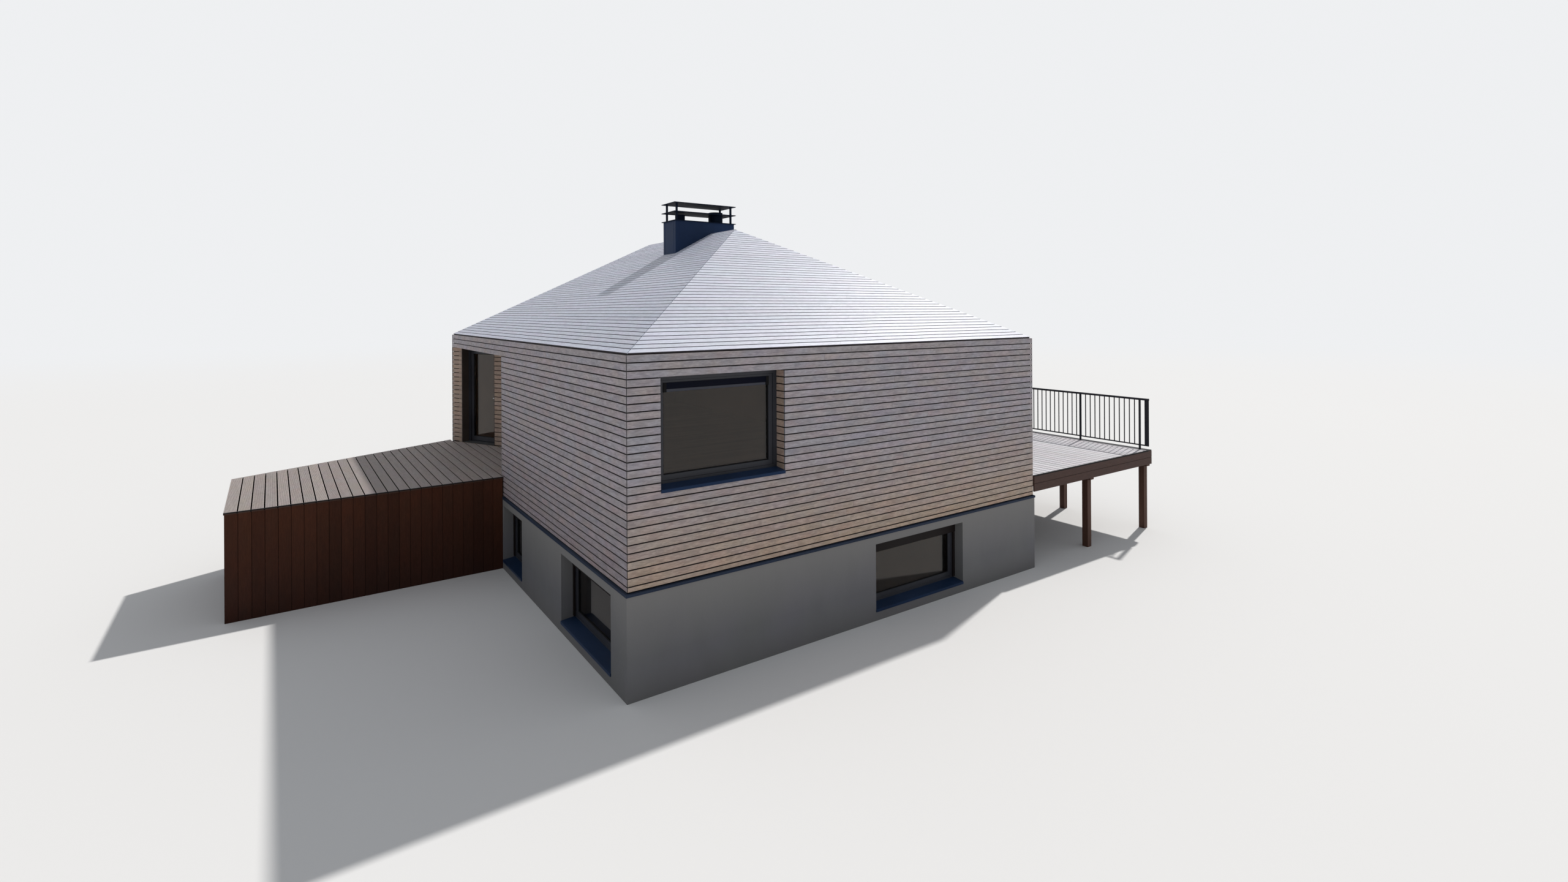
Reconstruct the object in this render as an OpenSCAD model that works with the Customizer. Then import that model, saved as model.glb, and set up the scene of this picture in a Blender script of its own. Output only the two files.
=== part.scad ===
/* [House] */
// Length of the front wall, over the cladding
front_len = 7880; // [6800:10:9600]
// Length of the left wall, from the front corner to the skewed back wall
left_len = 10300; // [9300:10:12500]
// Turn of the back wall away from square, which the entrance wall follows
skew = 26.6; // [18:0.1:32]
// Height of the masonry storey above the ground
base_h = 1310; // [1250:10:1600]
// Height of the clad storey, from the masonry up to the eaves
clad_h = 2890; // [2800:10:3200]
// Rise of the floor above the masonry
floor_rise = 370; // [300:10:420]
// Thickness of the upper walls, cladding included
wall_t = 340; // [300:5:380]
// Thickness of the masonry walls
base_t = 400; // [390:5:480]
// Thickness of the slab at ground level
ground_slab_t = 120; // [80:5:150]
// How far the masonry stands proud of the cladding
base_proud = 15; // [5:1:30]
// Clearance between pieces that are made apart and fitted together
fit = 0.2; // [0.1:0.05:0.5]

/* [Cladding] */
// Depth of the cladding, boards with their battens
clad_t = 25; // [20:1:35]
// Gap under the lowest board
clad_gap = 12; // [8:1:20]
// Height of the lip of the drip flashing
flashing_lip = 30; // [20:1:60]
// Thickness of the flashing where it turns down
flashing_t = 12; // [6:1:20]

/* [Roof] */
// Pitch of all four slopes
roof_pitch = 28.2; // [22:0.1:34]
// Thickness of the roof panels
roof_t = 160; // [120:5:180]

/* [Entrance] */
// Distance from the front corner to the entrance recess
recess_start = 5810; // [5300:10:6500]
// Drop of all door and window heads below the eaves
head_drop = 300; // [280:10:340]
// Width of the doorway
doorway_w = 1090; // [1000:10:1200]
// Depth of the door and window reveals
reveal = 200; // [150:5:230]
// Width of the door frame
door_frame_w = 50; // [40:1:60]
// Height of the threshold
threshold_h = 20; // [12:1:28]
// Gap round the door leaf
door_gap = 10; // [9:0.5:12]
// Width of the stiles and rails of the door leaf
stile_w = 100; // [80:5:120]
// Thickness of the door leaf
leaf_t = 68; // [56:1:76]
// Height of the door handle above the floor
handle_h = 1050; // [950:10:1150]
// Reach of the door handle from the leaf
handle_reach = 50; // [45:1:56]
// Length of the door lever
lever_len = 125; // [100:1:140]
// Thickness of the door lever
lever_d = 20; // [16:1:22]
// Diameter of the round plate behind the lever
rose_d = 52; // [40:1:56]
// Thickness of the round plate behind the lever
rose_t = 8; // [5:1:12]
// How far the stop of the frame covers the door leaf
stop_cover = 15; // [10:1:20]
// Thickness of the stop
stop_t = 15; // [10:1:20]
// Gap between the stop and the door leaf
stop_gap = 5; // [5:0.5:8]
// Diameter of the hinge pins
pin_d = 14; // [10:1:18]
// Thickness of the hinge knuckles round the pins
knuckle_t = 5; // [4:1:8]
// Clearance between a hinge pin and the knuckle that turns on it
pin_play = 0.1; // [0.05:0.01:0.1]
// Height of one hinge
hinge_h = 120; // [100:5:160]
// Gap between the knuckles of a hinge
knuckle_gap = 1; // [0.5:0.5:2]
// Distance of the hinge knuckles from the door leaf
hinge_off = 6; // [5:1:10]
// Thickness of the sheet that lines the doorway
door_lining_t = 8; // [4:1:15]

/* [Front windows] */
// Distance from the front corner to the upper window
upper_win_x = 450; // [400:10:1200]
// Width of the upper window
upper_win_w = 1880; // [1200:10:2400]
// Height of the upper window
upper_win_h = 1400; // [1000:10:1500]
// Distance from the front corner to the lower window
base_win_x = 4000; // [3400:10:4400]
// Width of the lower window
base_win_w = 1950; // [1200:10:2200]
// Height of the lower windows
base_win_h = 990; // [800:10:1000]
// Masonry left between the lower windows and the top of the masonry
base_win_drop = 150; // [100:5:160]
// Width of the window frames
frame_w = 60; // [50:1:80]
// Depth of the window frames
frame_depth = 80; // [60:1:100]
// Width of the opening sash of the upper window
sash_w = 72; // [60:1:90]
// Groove between the frame and its sash
sash_groove = 6; // [4:1:10]
// Step back from the frame to its sash
sash_step = 8; // [4:1:12]
// Thickness of the glazing
glass_t = 28; // [20:1:36]
// Fall of the window sills
sill_fall = 26; // [15:1:45]
// Nose of the sills beyond the wall face
sill_nose = 14; // [8:1:25]
// Depth of the turned down edge of the sills
sill_lip = 36; // [20:1:50]
// Height of the front edge of the sills and of the flashing
sill_edge = 4; // [3:1:8]

/* [Left windows] */
// Distance from the front corner to the first lower window
left_win_1 = 490; // [420:10:900]
// Width of the first lower window
left_win_1_w = 1910; // [1200:10:2200]
// Distance from the front corner to the second lower window
left_win_2 = 4450; // [3800:10:4480]
// Width of the second lower window
left_win_2_w = 1190; // [800:10:1200]

/* [Rear windows] */
// Distance from the right corner to the window in the back wall
back_win_x = 3200; // [1200:10:5200]
// Distance from the front wall to the glazed opening on the terrace
terrace_win_y = 1600; // [900:10:2400]
// Width of the glazed opening on the terrace
terrace_win_w = 2400; // [1800:10:3000]

/* [Chimney] */
// Reach of the chimney to the left of the ridge
chimney_left = 805; // [600:5:1000]
// Distance from the front end of the ridge to the chimney
chimney_back = 955; // [700:5:1300]
// Length of the chimney
chimney_len = 1365; // [1100:5:1500]
// Depth of the chimney
chimney_depth = 545; // [450:5:700]
// Height of the top of the shaft above the ridge
chimney_rise = 222; // [150:1:400]
// Thickness of the shaft wall
shaft_t = 60; // [40:5:90]
// Overhang of the three cap plates
plate_overhang = 30; // [15:1:60]
// Thickness of the cap plates
plate_t = 14; // [8:1:25]
// Open height between two cap plates
louvre_gap = 166; // [120:1:220]
// Width of the corner posts of the cap
cap_post_w = 34; // [25:1:45]
// Distance of the corner posts from the faces of the shaft
cap_post_inset = 36; // [10:1:50]
// Diameter of the small flue
small_flue_d = 200; // [150:5:250]
// Diameter of the large flue
large_flue_d = 300; // [250:5:340]
// Thickness of the flue pipes
flue_t = 6; // [3:1:10]
// Gap between the flues and the ends of the shaft
flue_gap = 80; // [40:5:120]
// Clearance of a flue in the holes of the cap plates
flue_clear = 8; // [5:1:15]
// Height of the large flue above the middle cap plate
large_flue_rise = 55; // [30:5:90]
// Height left between the small flue and the middle cap plate
small_flue_drop = 30; // [20:5:60]

/* [Entry deck] */
// Length of the entry deck in front of the left wall
entry_len = 4090; // [3000:10:5200]
// Distance of the entry deck edge before the recess
entry_margin = 130; // [60:5:250]
// Distance of the entry deck edge beyond the line of the back wall
entry_far_margin = 210; // [100:5:300]
// Thickness of the deck planks
plank_t = 28; // [20:1:36]
// Thickness of the skirt boards
skirt_t = 28; // [20:1:40]
// Setback of the skirt under the deck edge
skirt_setback = 10; // [0:1:20]
// Open joint between the skirt boards at the outer corners
skirt_joint = 3; // [2:0.5:6]
// Gap between the decks and the house
deck_gap = 5; // [3:1:10]
// Width of the joists under the terrace
joist_w = 60; // [45:1:80]
// Depth of the joists under the terrace
joist_h = 170; // [120:5:220]
// Largest spacing of the joists
joist_spacing = 620; // [450:10:800]

/* [Terrace] */
// Depth of the terrace away from the house
terrace_depth = 4080; // [3000:10:4800]
// Length of the terrace along the house
terrace_len = 6080; // [4600:10:7600]
// Height of one fascia board
fascia_board_h = 144; // [120:1:160]
// Thickness of the fascia boards
fascia_t = 28; // [20:1:40]
// Drop of the fascia below the deck surface
fascia_drop = 6; // [2:1:12]
// Open joint between the fascia boards at the corners
fascia_joint = 3; // [2:0.5:6]
// Width of the terrace posts and of the beams on them
terrace_post_w = 120; // [90:5:160]
// Depth of the beams on the terrace posts
beam_h = 140; // [100:5:200]
// Largest distance between two terrace posts along the house
terrace_post_spacing = 2100; // [1500:50:2600]

/* [Railing] */
// Height of the railing above the terrace
railing_h = 1105; // [1000:5:1200]
// Distance between two railing posts
railing_bay = 1410; // [1100:10:1600]
// Largest distance between two balusters
baluster_pitch = 118; // [90:1:130]
// Width of a baluster
baluster_w = 16; // [10:1:25]
// Width of a railing post
railing_post_w = 40; // [30:1:60]
// Thickness of the railing posts and bars
railing_t = 20; // [12:1:30]
// Height of the top rail
top_rail_h = 40; // [25:1:50]
// Width of the top rail
top_rail_w = 50; // [35:1:70]
// Height of the bottom rail
bottom_rail_h = 25; // [15:1:40]
// Height of the bottom rail above the terrace
bottom_rail_lift = 85; // [60:1:120]
// Width of the flat bar that closes each end of the railing
end_bar_w = 80; // [50:1:100]
// Setback of the railing from the terrace edge
railing_setback = 110; // [60:1:150]
// Distance from the end of the railing to its first post
railing_end_bay = 198; // [150:1:400]
// Thickness of the steel strip that the railing stands on
edge_strip_t = 8; // [5:1:12]

/* [Hidden] */
$fn = 48;

timber = [0.56, 0.50, 0.46];
roof_timber = [0.66, 0.67, 0.69];
deck_timber = [0.64, 0.61, 0.58];
dark_timber = [0.27, 0.17, 0.13];
floor_timber = [0.60, 0.47, 0.33];
metal = [0.13, 0.15, 0.18];
steel = [0.75, 0.76, 0.78];
masonry = [0.66, 0.66, 0.67];
glass_tint = [0.16, 0.19, 0.21];
membrane = [0.10, 0.10, 0.11];

// Levels
eaves_z = base_h + clad_h;
floor_z = base_h + floor_rise;
head_z = eaves_z - head_drop;
base_win_top = base_h - base_win_drop;
wall_face = clad_t + fit;
clad_v = clad_t / cos(roof_pitch);
panel_v = roof_t / cos(roof_pitch);
ridge_z = eaves_z + front_len;
reach = 3 * front_len;

// Plan of the eaves and the masonry: front, right, back and left sides
back_len = front_len / cos(skew);
right_len = left_len + front_len * tan(skew);
outer = [[0, 0], [front_len, 0], [front_len, right_len], [0, left_len]];
outer_turn = [0, 90, 180 + skew, 270];
FRONT = 0;
RIGHT = 1;
BACK = 2;
LEFT = 3;

// Plan of the upper walls, where the recess adds an entrance side and a short return
recess_len = (left_len - recess_start) / cos(skew);
recess_inner = [recess_len * sin(skew), recess_start];
upper = [outer[0], outer[1], outer[2], outer[3], recess_inner, [0, recess_start]];
upper_turn = [0, 90, 180 + skew, skew - 90, 180, 270];
ENTRANCE = 3;
RETURN = 4;
UPPER_LEFT = 5;
doorway = [wall_t, wall_t + doorway_w];

// Ridge of the hipped roof
half_span = front_len / 2;
ridge_start = [half_span, half_span];
ridge_end = [half_span, left_len - half_span * (1 - sin(skew)) / cos(skew)];

// Windows, each as side, start along the side and width
upper_windows = [[FRONT, upper_win_x, upper_win_w], [BACK, back_win_x, upper_win_w]];
terrace_windows = [[RIGHT, terrace_win_y, terrace_win_w]];
base_windows = [
    [FRONT, base_win_x, base_win_w],
    [LEFT, left_len - left_win_1 - left_win_1_w, left_win_1_w],
    [LEFT, left_len - left_win_2 - left_win_2_w, left_win_2_w]
];
upper_win_z = [head_z - upper_win_h, head_z];
terrace_win_z = [floor_z, head_z];
base_win_z = [base_win_top - base_win_h, base_win_top];

// Decks
entry_near_y = recess_start - entry_margin;
terrace_end_x = front_len + terrace_depth;
terrace_end_y = -fascia_t + terrace_len;
railing_x = terrace_end_x - railing_setback;

// The chimney
chimney_xs = [half_span - chimney_left, half_span - chimney_left + chimney_len];
chimney_ys = [half_span + chimney_back, half_span + chimney_back + chimney_depth];
shaft_top = eaves_z + half_span * tan(roof_pitch) + chimney_rise;
cap_step = plate_t + louvre_gap;
small_flue_x = chimney_xs[0] + shaft_t + flue_gap + small_flue_d / 2;
large_flue_x = chimney_xs[1] - shaft_t - flue_gap - large_flue_d / 2;
flue_y = (chimney_ys[0] + chimney_ys[1]) / 2;
cap_post_xs = [chimney_xs[0] + cap_post_inset, chimney_xs[1] - cap_post_inset - cap_post_w];
cap_post_ys = [chimney_ys[0] + cap_post_inset, chimney_ys[1] - cap_post_inset - cap_post_w];

// The frame has its origin at the middle of the whole plan, on the ground
flashing_out = base_proud + flashing_t;
middle = [
    (terrace_end_x - entry_len) / 2,
    (right_len + flashing_out * tan((90 + skew) / 2) - max(fascia_t, flashing_out)) / 2, 0
];

function along(points, turns, i, x, y) =
    points[i] + x * [cos(turns[i]), sin(turns[i])] + y * [-sin(turns[i]), cos(turns[i])];
function inward(turn) = [-sin(turn), cos(turn)];
// Corner i of a plan, moved inward from both of its sides by the same distance
function inset(points, turns, i, d) =
    let (n = len(points), j = i % n, a = inward(turns[(j + n - 1) % n]), b = inward(turns[j]))
    points[j] + d * (a + b) / (1 + a * b);
// A pair of places measured from a start
function span(start, a, b) = [start + a, start + b];
// Far edge of the entry deck, parallel to the back wall, moved in by d
function far_edge_y(x, d) = left_len + x * tan(skew) + (entry_far_margin - d) / cos(skew);
// Evenly spaced places from first to last, no further apart than the spacing
function spread(first, last, spacing) =
    let (n = max(1, ceil((last - first) / spacing)))
    [for (i = [0:n]) first + (last - first) * i / n];

module set_out() translate(-middle) children();

module on_side(points, turns, i)
    translate([points[i][0], points[i][1], 0]) rotate([0, 0, turns[i]]) children();

module block(x, y, z)
    translate([x[0], y[0], z[0]]) cube([x[1] - x[0], y[1] - y[0], z[1] - z[0]]);

module prism(points, z) translate([0, 0, z[0]]) linear_extrude(z[1] - z[0]) polygon(points);

// Everything under one slope, or under the whole roof, lowered by a drop
module below_slope(i, drop)
    on_side(outer, outer_turn, i) translate([0, 0, eaves_z - drop]) rotate([roof_pitch, 0, 0])
        translate([-reach, -reach, -reach]) cube([2 * reach, 2 * reach, reach]);

module below_roof(drop) intersection() {
    below_slope(FRONT, drop);
    below_slope(RIGHT, drop);
    below_slope(BACK, drop);
    below_slope(LEFT, drop);
}

// Flat outline of one wall between two insets, mitred at both of its corners
function wall_plan(points, turns, i, a, b) = [
    inset(points, turns, i, a), inset(points, turns, i + 1, a),
    inset(points, turns, i + 1, b), inset(points, turns, i, b)
];

// A rectangular ring in the plane of a wall, with bars of width w
module ring(x, z, w, y) difference() {
    block(x, y, z);
    block(x + [w, -w], y + [-1, 1], z + [w, -w]);
}

// A pane that fills a ring, in the middle of its depth
module pane(x, z, w, y)
    block(x + [w, -w], [(y[0] + y[1] - glass_t) / 2, (y[0] + y[1] + glass_t) / 2], z + [w, -w]);

// A profile in depth and height, drawn out along a side
module profile_run(x, points)
    translate([x[0], 0, 0]) rotate([90, 0, 90]) linear_extrude(x[1] - x[0]) polygon(points);

// The part of each window in a list that lies between two depths, on side i only
module window_holes(windows, i, z, y, margin) for (w = windows) if (w[0] == i)
    on_side(outer, outer_turn, i)
        block([w[1] - margin, w[1] + w[2] + margin], y, [z[0], z[1] + margin]);

// Upright joints that part the lintels and the walling under the windows from the piers beside them
module jamb_joints(windows, i) for (w = windows) if (w[0] == i) on_side(outer, outer_turn, i)
    for (x = [w[1] - fit, w[1] + w[2]]) block([x, x + fit], [-base_t, 2 * base_t], [-1, ridge_z]);

/* The masonry storey */

base_frame_y = [reveal - base_proud, reveal - base_proud + frame_depth];

module base_floor() set_out() color(masonry)
    prism([for (i = [0:3]) inset(outer, outer_turn, i, base_t - base_proud)], [0, ground_slab_t]);

module base_wall(i) set_out() color(masonry) difference() {
    prism(wall_plan(outer, outer_turn, i, -base_proud, base_t - base_proud), [0, base_h]);
    window_holes(base_windows, i, base_win_z, [-base_t, base_t], 0);
    jamb_joints(base_windows, i);
}

module base_wall_front() base_wall(FRONT);

module base_wall_right() base_wall(RIGHT);

module base_wall_back() base_wall(BACK);

module base_wall_left() base_wall(LEFT);

module base_window_frames() set_out() color(metal) for (w = base_windows)
    on_side(outer, outer_turn, w[0]) ring([w[1], w[1] + w[2]], base_win_z, frame_w, base_frame_y);

module base_window_glass() set_out() color(glass_tint) for (w = base_windows)
    on_side(outer, outer_turn, w[0]) pane([w[1], w[1] + w[2]], base_win_z, frame_w, base_frame_y);

// A sill fills the foot of a reveal, falls outward and turns down in front of the wall
module sill(w, z, face, back) on_side(outer, outer_turn, w[0])
    profile_run(span(w[1], fit, w[2] - fit), [
        [back - fit, z], [back - fit, z + sill_fall], [face - sill_nose, z + sill_edge],
        [face - sill_nose, z - sill_lip], [face - fit, z - sill_lip], [face - fit, z]
    ]);

module window_sills() set_out() color(metal) {
    for (w = base_windows) sill(w, base_win_z[0], -base_proud, base_frame_y[0]);
    for (w = upper_windows) sill(w, upper_win_z[0], 0, reveal);
}

// The flashing runs round three sides and along the left side as far as the entry deck
module flashing_run(i, x) intersection() {
    on_side(outer, outer_turn, i) profile_run(x, [
        [clad_t, base_h + fit], [clad_t, base_h + clad_gap - 2], [-flashing_out, base_h + sill_edge],
        [-flashing_out, base_h - flashing_lip], [-base_proud - fit, base_h - flashing_lip],
        [-base_proud - fit, base_h + fit]
    ]);
    prism([for (j = [0:3]) inset(outer, outer_turn, j, -flashing_out)], [0, eaves_z]);
}

module drip_flashing() set_out() color(metal) {
    flashing_run(FRONT, [-wall_t, front_len + wall_t]);
    flashing_run(RIGHT, [-wall_t, right_len + wall_t]);
    flashing_run(BACK, [-wall_t, back_len]);
    flashing_run(LEFT, [left_len - entry_near_y + deck_gap, left_len + wall_t]);
}

/* The floor and the upper walls */

module floor_slab() set_out() color(floor_timber) difference() {
    prism([
        inset(outer, outer_turn, 0, wall_t), inset(outer, outer_turn, 1, wall_t),
        inset(outer, outer_turn, 2, wall_t), along(upper, upper_turn, ENTRANCE, wall_t, 0),
        along(upper, upper_turn, ENTRANCE, clad_t / sin(skew), 0),
        inset(upper, upper_turn, UPPER_LEFT, clad_t), inset(upper, upper_turn, UPPER_LEFT, wall_t)
    ], [base_h, floor_z]);
    prism([upper[3], upper[4], upper[5]], [floor_z - plank_t, floor_z + 1]);
}

module upper_wall(points, foot) color(membrane) intersection() {
    prism(points, [foot, ridge_z]);
    below_roof(clad_v + panel_v);
}

// The outer part of each hole is wider, to take the boards that line it
module holed_wall(i, windows, z) set_out() difference() {
    children();
    window_holes(windows, i, z, [-wall_t, reveal], clad_t);
    window_holes(windows, i, z, [0, 2 * wall_t], 0);
    jamb_joints(windows, i);
}

module wall_front() holed_wall(FRONT, upper_windows, upper_win_z)
    upper_wall(wall_plan(upper, upper_turn, FRONT, wall_face, wall_t), base_h);

module wall_right() holed_wall(RIGHT, terrace_windows, terrace_win_z)
    upper_wall(wall_plan(upper, upper_turn, RIGHT, wall_face, wall_t), base_h);

module wall_back() holed_wall(BACK, upper_windows, upper_win_z) upper_wall([
    inset(upper, upper_turn, BACK, wall_face),
    along(upper, upper_turn, BACK, back_len - wall_face, wall_face),
    along(upper, upper_turn, BACK, back_len - wall_face, wall_t),
    inset(upper, upper_turn, BACK, wall_t)
], base_h);

module wall_left() set_out()
    upper_wall(wall_plan(upper, upper_turn, UPPER_LEFT, wall_face, wall_t), base_h);

module recess_side_wall() set_out()
    upper_wall(wall_plan(upper, upper_turn, RETURN, wall_face, wall_t), floor_z);

module entrance_wall() set_out() upper_wall([
    along(upper, upper_turn, ENTRANCE, doorway[1], wall_face), inset(upper, upper_turn, RETURN, wall_face),
    inset(upper, upper_turn, RETURN, wall_t), along(upper, upper_turn, ENTRANCE, doorway[1], wall_t)
], floor_z);

module entrance_head() set_out() upper_wall([
    along(upper, upper_turn, ENTRANCE, doorway[0], wall_face),
    along(upper, upper_turn, ENTRANCE, doorway[1], wall_face),
    along(upper, upper_turn, ENTRANCE, doorway[1], wall_t),
    along(upper, upper_turn, ENTRANCE, doorway[0], wall_t)
], head_z);

// The header bridges the recess in the line of the left wall
soffit_z = [head_z, head_z + clad_t];
function entrance_y(x) = left_len - x / tan(skew);
// Plan of the recess inside the line x, with a clearance to its two walls
function recess_plan(x, gap) = [
    [x, recess_start + gap],
    [recess_inner[0] - gap * (1 + sin(skew)) / cos(skew), recess_start + gap],
    [x, entrance_y(x) - gap / sin(skew)]
];

module recess_header() set_out() upper_wall([
    [wall_face, recess_start - wall_face], [wall_t, recess_start - wall_face],
    [wall_t, entrance_y(wall_t)], [wall_face, entrance_y(wall_face)]
], soffit_z[1]);

module recess_soffit() set_out() color(timber) prism(recess_plan(wall_face, fit), soffit_z);

/* The cladding */

module clad_sheet(points, foot) intersection() {
    prism(points, [foot, ridge_z]);
    below_roof(clad_v);
}

module window_lining(w, z) on_side(outer, outer_turn, w[0]) difference() {
    block([w[1] - clad_t, w[1] + w[2] + clad_t], [0, reveal], [z[0], z[1] + clad_t]);
    block([w[1], w[1] + w[2]], [-1, reveal + 1], [z[0] - 1, z[1]]);
}

module wall_cladding() set_out() color(timber) {
    difference() {
        union() {
            for (i = [FRONT, RIGHT, UPPER_LEFT])
                clad_sheet(wall_plan(upper, upper_turn, i, 0, clad_t), base_h + clad_gap);
            clad_sheet([
                inset(upper, upper_turn, BACK, 0), upper[3],
                along(upper, upper_turn, BACK, back_len, clad_t), inset(upper, upper_turn, BACK, clad_t)
            ], base_h + clad_gap);
            clad_sheet([
                upper[5], inset(upper, upper_turn, UPPER_LEFT, clad_t), [clad_t, entrance_y(clad_t)], upper[3]
            ], head_z);
        }
        for (i = [FRONT, BACK]) window_holes(upper_windows, i, upper_win_z, [-wall_t, wall_t], 0);
        window_holes(terrace_windows, RIGHT, terrace_win_z, [-wall_t, wall_t], 0);
    }
    for (w = upper_windows) window_lining(w, upper_win_z);
    for (w = terrace_windows) window_lining(w, terrace_win_z);
    prism([
        along(upper, upper_turn, ENTRANCE, clad_t, 0), along(upper, upper_turn, ENTRANCE, doorway[0], 0),
        along(upper, upper_turn, ENTRANCE, doorway[0], clad_t),
        along(upper, upper_turn, ENTRANCE, clad_t, clad_t)
    ], [floor_z, soffit_z[1]]);
    prism([
        along(upper, upper_turn, ENTRANCE, doorway[1], 0), upper[4], upper[5],
        inset(upper, upper_turn, UPPER_LEFT, clad_t), inset(upper, upper_turn, RETURN, clad_t),
        along(upper, upper_turn, ENTRANCE, doorway[1], clad_t)
    ], [floor_z, soffit_z[1]]);
}

/* The roof */

// One roof panel, a slice under a slope that ends at the hips and at the wall cladding
module roof_panel(i, ridge) set_out() color(membrane) difference() {
    intersection() {
        prism(concat([
            inset(outer, outer_turn, i, wall_face), inset(outer, outer_turn, i + 1, wall_face)
        ], ridge), [0, ridge_z]);
        below_slope(i, clad_v);
    }
    below_slope(i, clad_v + panel_v);
}

module roof_front() roof_panel(FRONT, [ridge_start]);

module roof_right() roof_panel(RIGHT, [ridge_end, ridge_start]);

module roof_back() roof_panel(BACK, [ridge_end]);

module roof_left() roof_panel(LEFT, [ridge_start, ridge_end]);

module roof_cladding() set_out() color(roof_timber) difference() {
    intersection() {
        prism(outer, [0, ridge_z]);
        below_roof(0);
    }
    below_roof(clad_v);
    block(chimney_xs + [-1, 1], chimney_ys + [-1, 1], [0, 2 * ridge_z]);
}

/* The chimney */

module chimney_bore()
    block(chimney_xs + [shaft_t, -shaft_t], chimney_ys + [shaft_t, -shaft_t], [0, 2 * ridge_z]);

module chimney_shaft() set_out() color(metal) difference() {
    block(chimney_xs, chimney_ys, [eaves_z, shaft_top]);
    chimney_bore();
    below_roof(clad_v);
}

module cap_plate(i) block(chimney_xs + [-plate_overhang, plate_overhang],
    chimney_ys + [-plate_overhang, plate_overhang], span(shaft_top + i * cap_step, 0, plate_t));

module flue_hole(x, d) translate([x, flue_y, 0]) cylinder(d = d + 2 * flue_clear, h = 2 * ridge_z);

module chimney_cap() set_out() color(metal) {
    difference() {
        union() {
            cap_plate(0);
            cap_plate(1);
        }
        flue_hole(large_flue_x, large_flue_d);
        translate([0, 0, -2 * ridge_z + shaft_top + cap_step / 2]) flue_hole(small_flue_x, small_flue_d);
    }
    cap_plate(2);
    for (x = cap_post_xs, y = cap_post_ys)
        block([x, x + cap_post_w], [y, y + cap_post_w], [shaft_top, shaft_top + 2 * cap_step]);
}

module flue(x, d, top) translate([x, flue_y, eaves_z]) difference() {
    cylinder(d = d, h = top - eaves_z);
    translate([0, 0, -1]) cylinder(d = d - 2 * flue_t, h = 2 * ridge_z);
}

module chimney_flues() set_out() color(metal) difference() {
    union() {
        flue(small_flue_x, small_flue_d, shaft_top + cap_step - small_flue_drop);
        flue(large_flue_x, large_flue_d, shaft_top + cap_step + plate_t + large_flue_rise);
    }
    below_roof(clad_v);
}

/* Windows of the upper storey */

terrace_mullion = span(terrace_win_w / 2, -frame_w / 2, frame_w / 2);
upper_frame_y = [reveal, reveal + frame_depth];

module upper_window_frames() set_out() color(metal) {
    for (w = upper_windows) on_side(outer, outer_turn, w[0])
        ring([w[1], w[1] + w[2]], upper_win_z, frame_w, upper_frame_y);
    for (w = terrace_windows) on_side(outer, outer_turn, w[0]) translate([w[1], 0, 0]) {
        ring([0, w[2]], terrace_win_z, frame_w, upper_frame_y);
        block(terrace_mullion, upper_frame_y, terrace_win_z + [1, -1] * frame_w / 2);
    }
}

// Each sash is a ring with a groove between it and the frame
module window_sash() set_out() color(metal) for (w = upper_windows) on_side(outer, outer_turn, w[0]) {
    x = [w[1], w[1] + w[2]] + [frame_w, -frame_w];
    z = upper_win_z + [frame_w, -frame_w];
    ring(x + [sash_groove, -sash_groove], z + [sash_groove, -sash_groove], sash_w - sash_groove,
        upper_frame_y + [sash_step, 0]);
    ring(x, z, sash_w, upper_frame_y + [2 * sash_step, 0]);
}

module upper_window_glass() set_out() color(glass_tint) {
    for (w = upper_windows) on_side(outer, outer_turn, w[0])
        pane([w[1], w[1] + w[2]], upper_win_z, frame_w + sash_w, upper_frame_y + [2 * sash_step, 0]);
    for (w = terrace_windows) on_side(outer, outer_turn, w[0]) translate([w[1], 0, 0]) {
        pane([0, terrace_mullion[0] + frame_w], terrace_win_z, frame_w, upper_frame_y);
        pane([terrace_mullion[1] - frame_w, w[2]], terrace_win_z, frame_w, upper_frame_y);
    }
}

/* The entrance door */

module on_entrance() on_side(upper, upper_turn, ENTRANCE) children();

frame_x = doorway + [fit, -fit];
frame_z = [floor_z + fit, head_z - fit];
leaf_x = doorway + [door_frame_w + door_gap, -door_frame_w - door_gap];
leaf_z = [floor_z + threshold_h + door_gap, head_z - door_frame_w - door_gap];
leaf_y = [reveal, reveal + leaf_t];
stop_w = door_frame_w + door_gap + stop_cover;
stop_y = leaf_y[0] - stop_gap - stop_t;

module door_lining() set_out() color(metal) on_entrance() difference() {
    block(frame_x, [0, stop_y], frame_z);
    block(doorway + [door_lining_t, -door_lining_t], [-1, reveal], [floor_z - 1, head_z - door_lining_t]);
}

module door_frame() set_out() color(metal) on_entrance() difference() {
    block(frame_x, [stop_y, leaf_y[1]], frame_z);
    block(doorway + [door_frame_w, -door_frame_w], [leaf_y[0] - stop_gap, leaf_y[1] + 1],
        [floor_z + threshold_h, head_z - door_frame_w]);
    block(doorway + [stop_w, -stop_w], [stop_y - 1, leaf_y[1] + 1],
        [floor_z + threshold_h, head_z - stop_w]);
}

module door_leaf() set_out() color(metal) on_entrance() ring(leaf_x, leaf_z, stile_w, leaf_y);

module door_glass() set_out() color(glass_tint) on_entrance() pane(leaf_x, leaf_z, stile_w, leaf_y);

knuckle_d = pin_d + 2 * knuckle_t;
hinge_axis = [leaf_x[0] - door_gap / 2, leaf_y[1] + hinge_off + knuckle_d / 2];
hinge_zs = [leaf_z[0] + 150, (leaf_z[0] + leaf_z[1] - hinge_h) / 2, leaf_z[1] - 150 - hinge_h];

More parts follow.
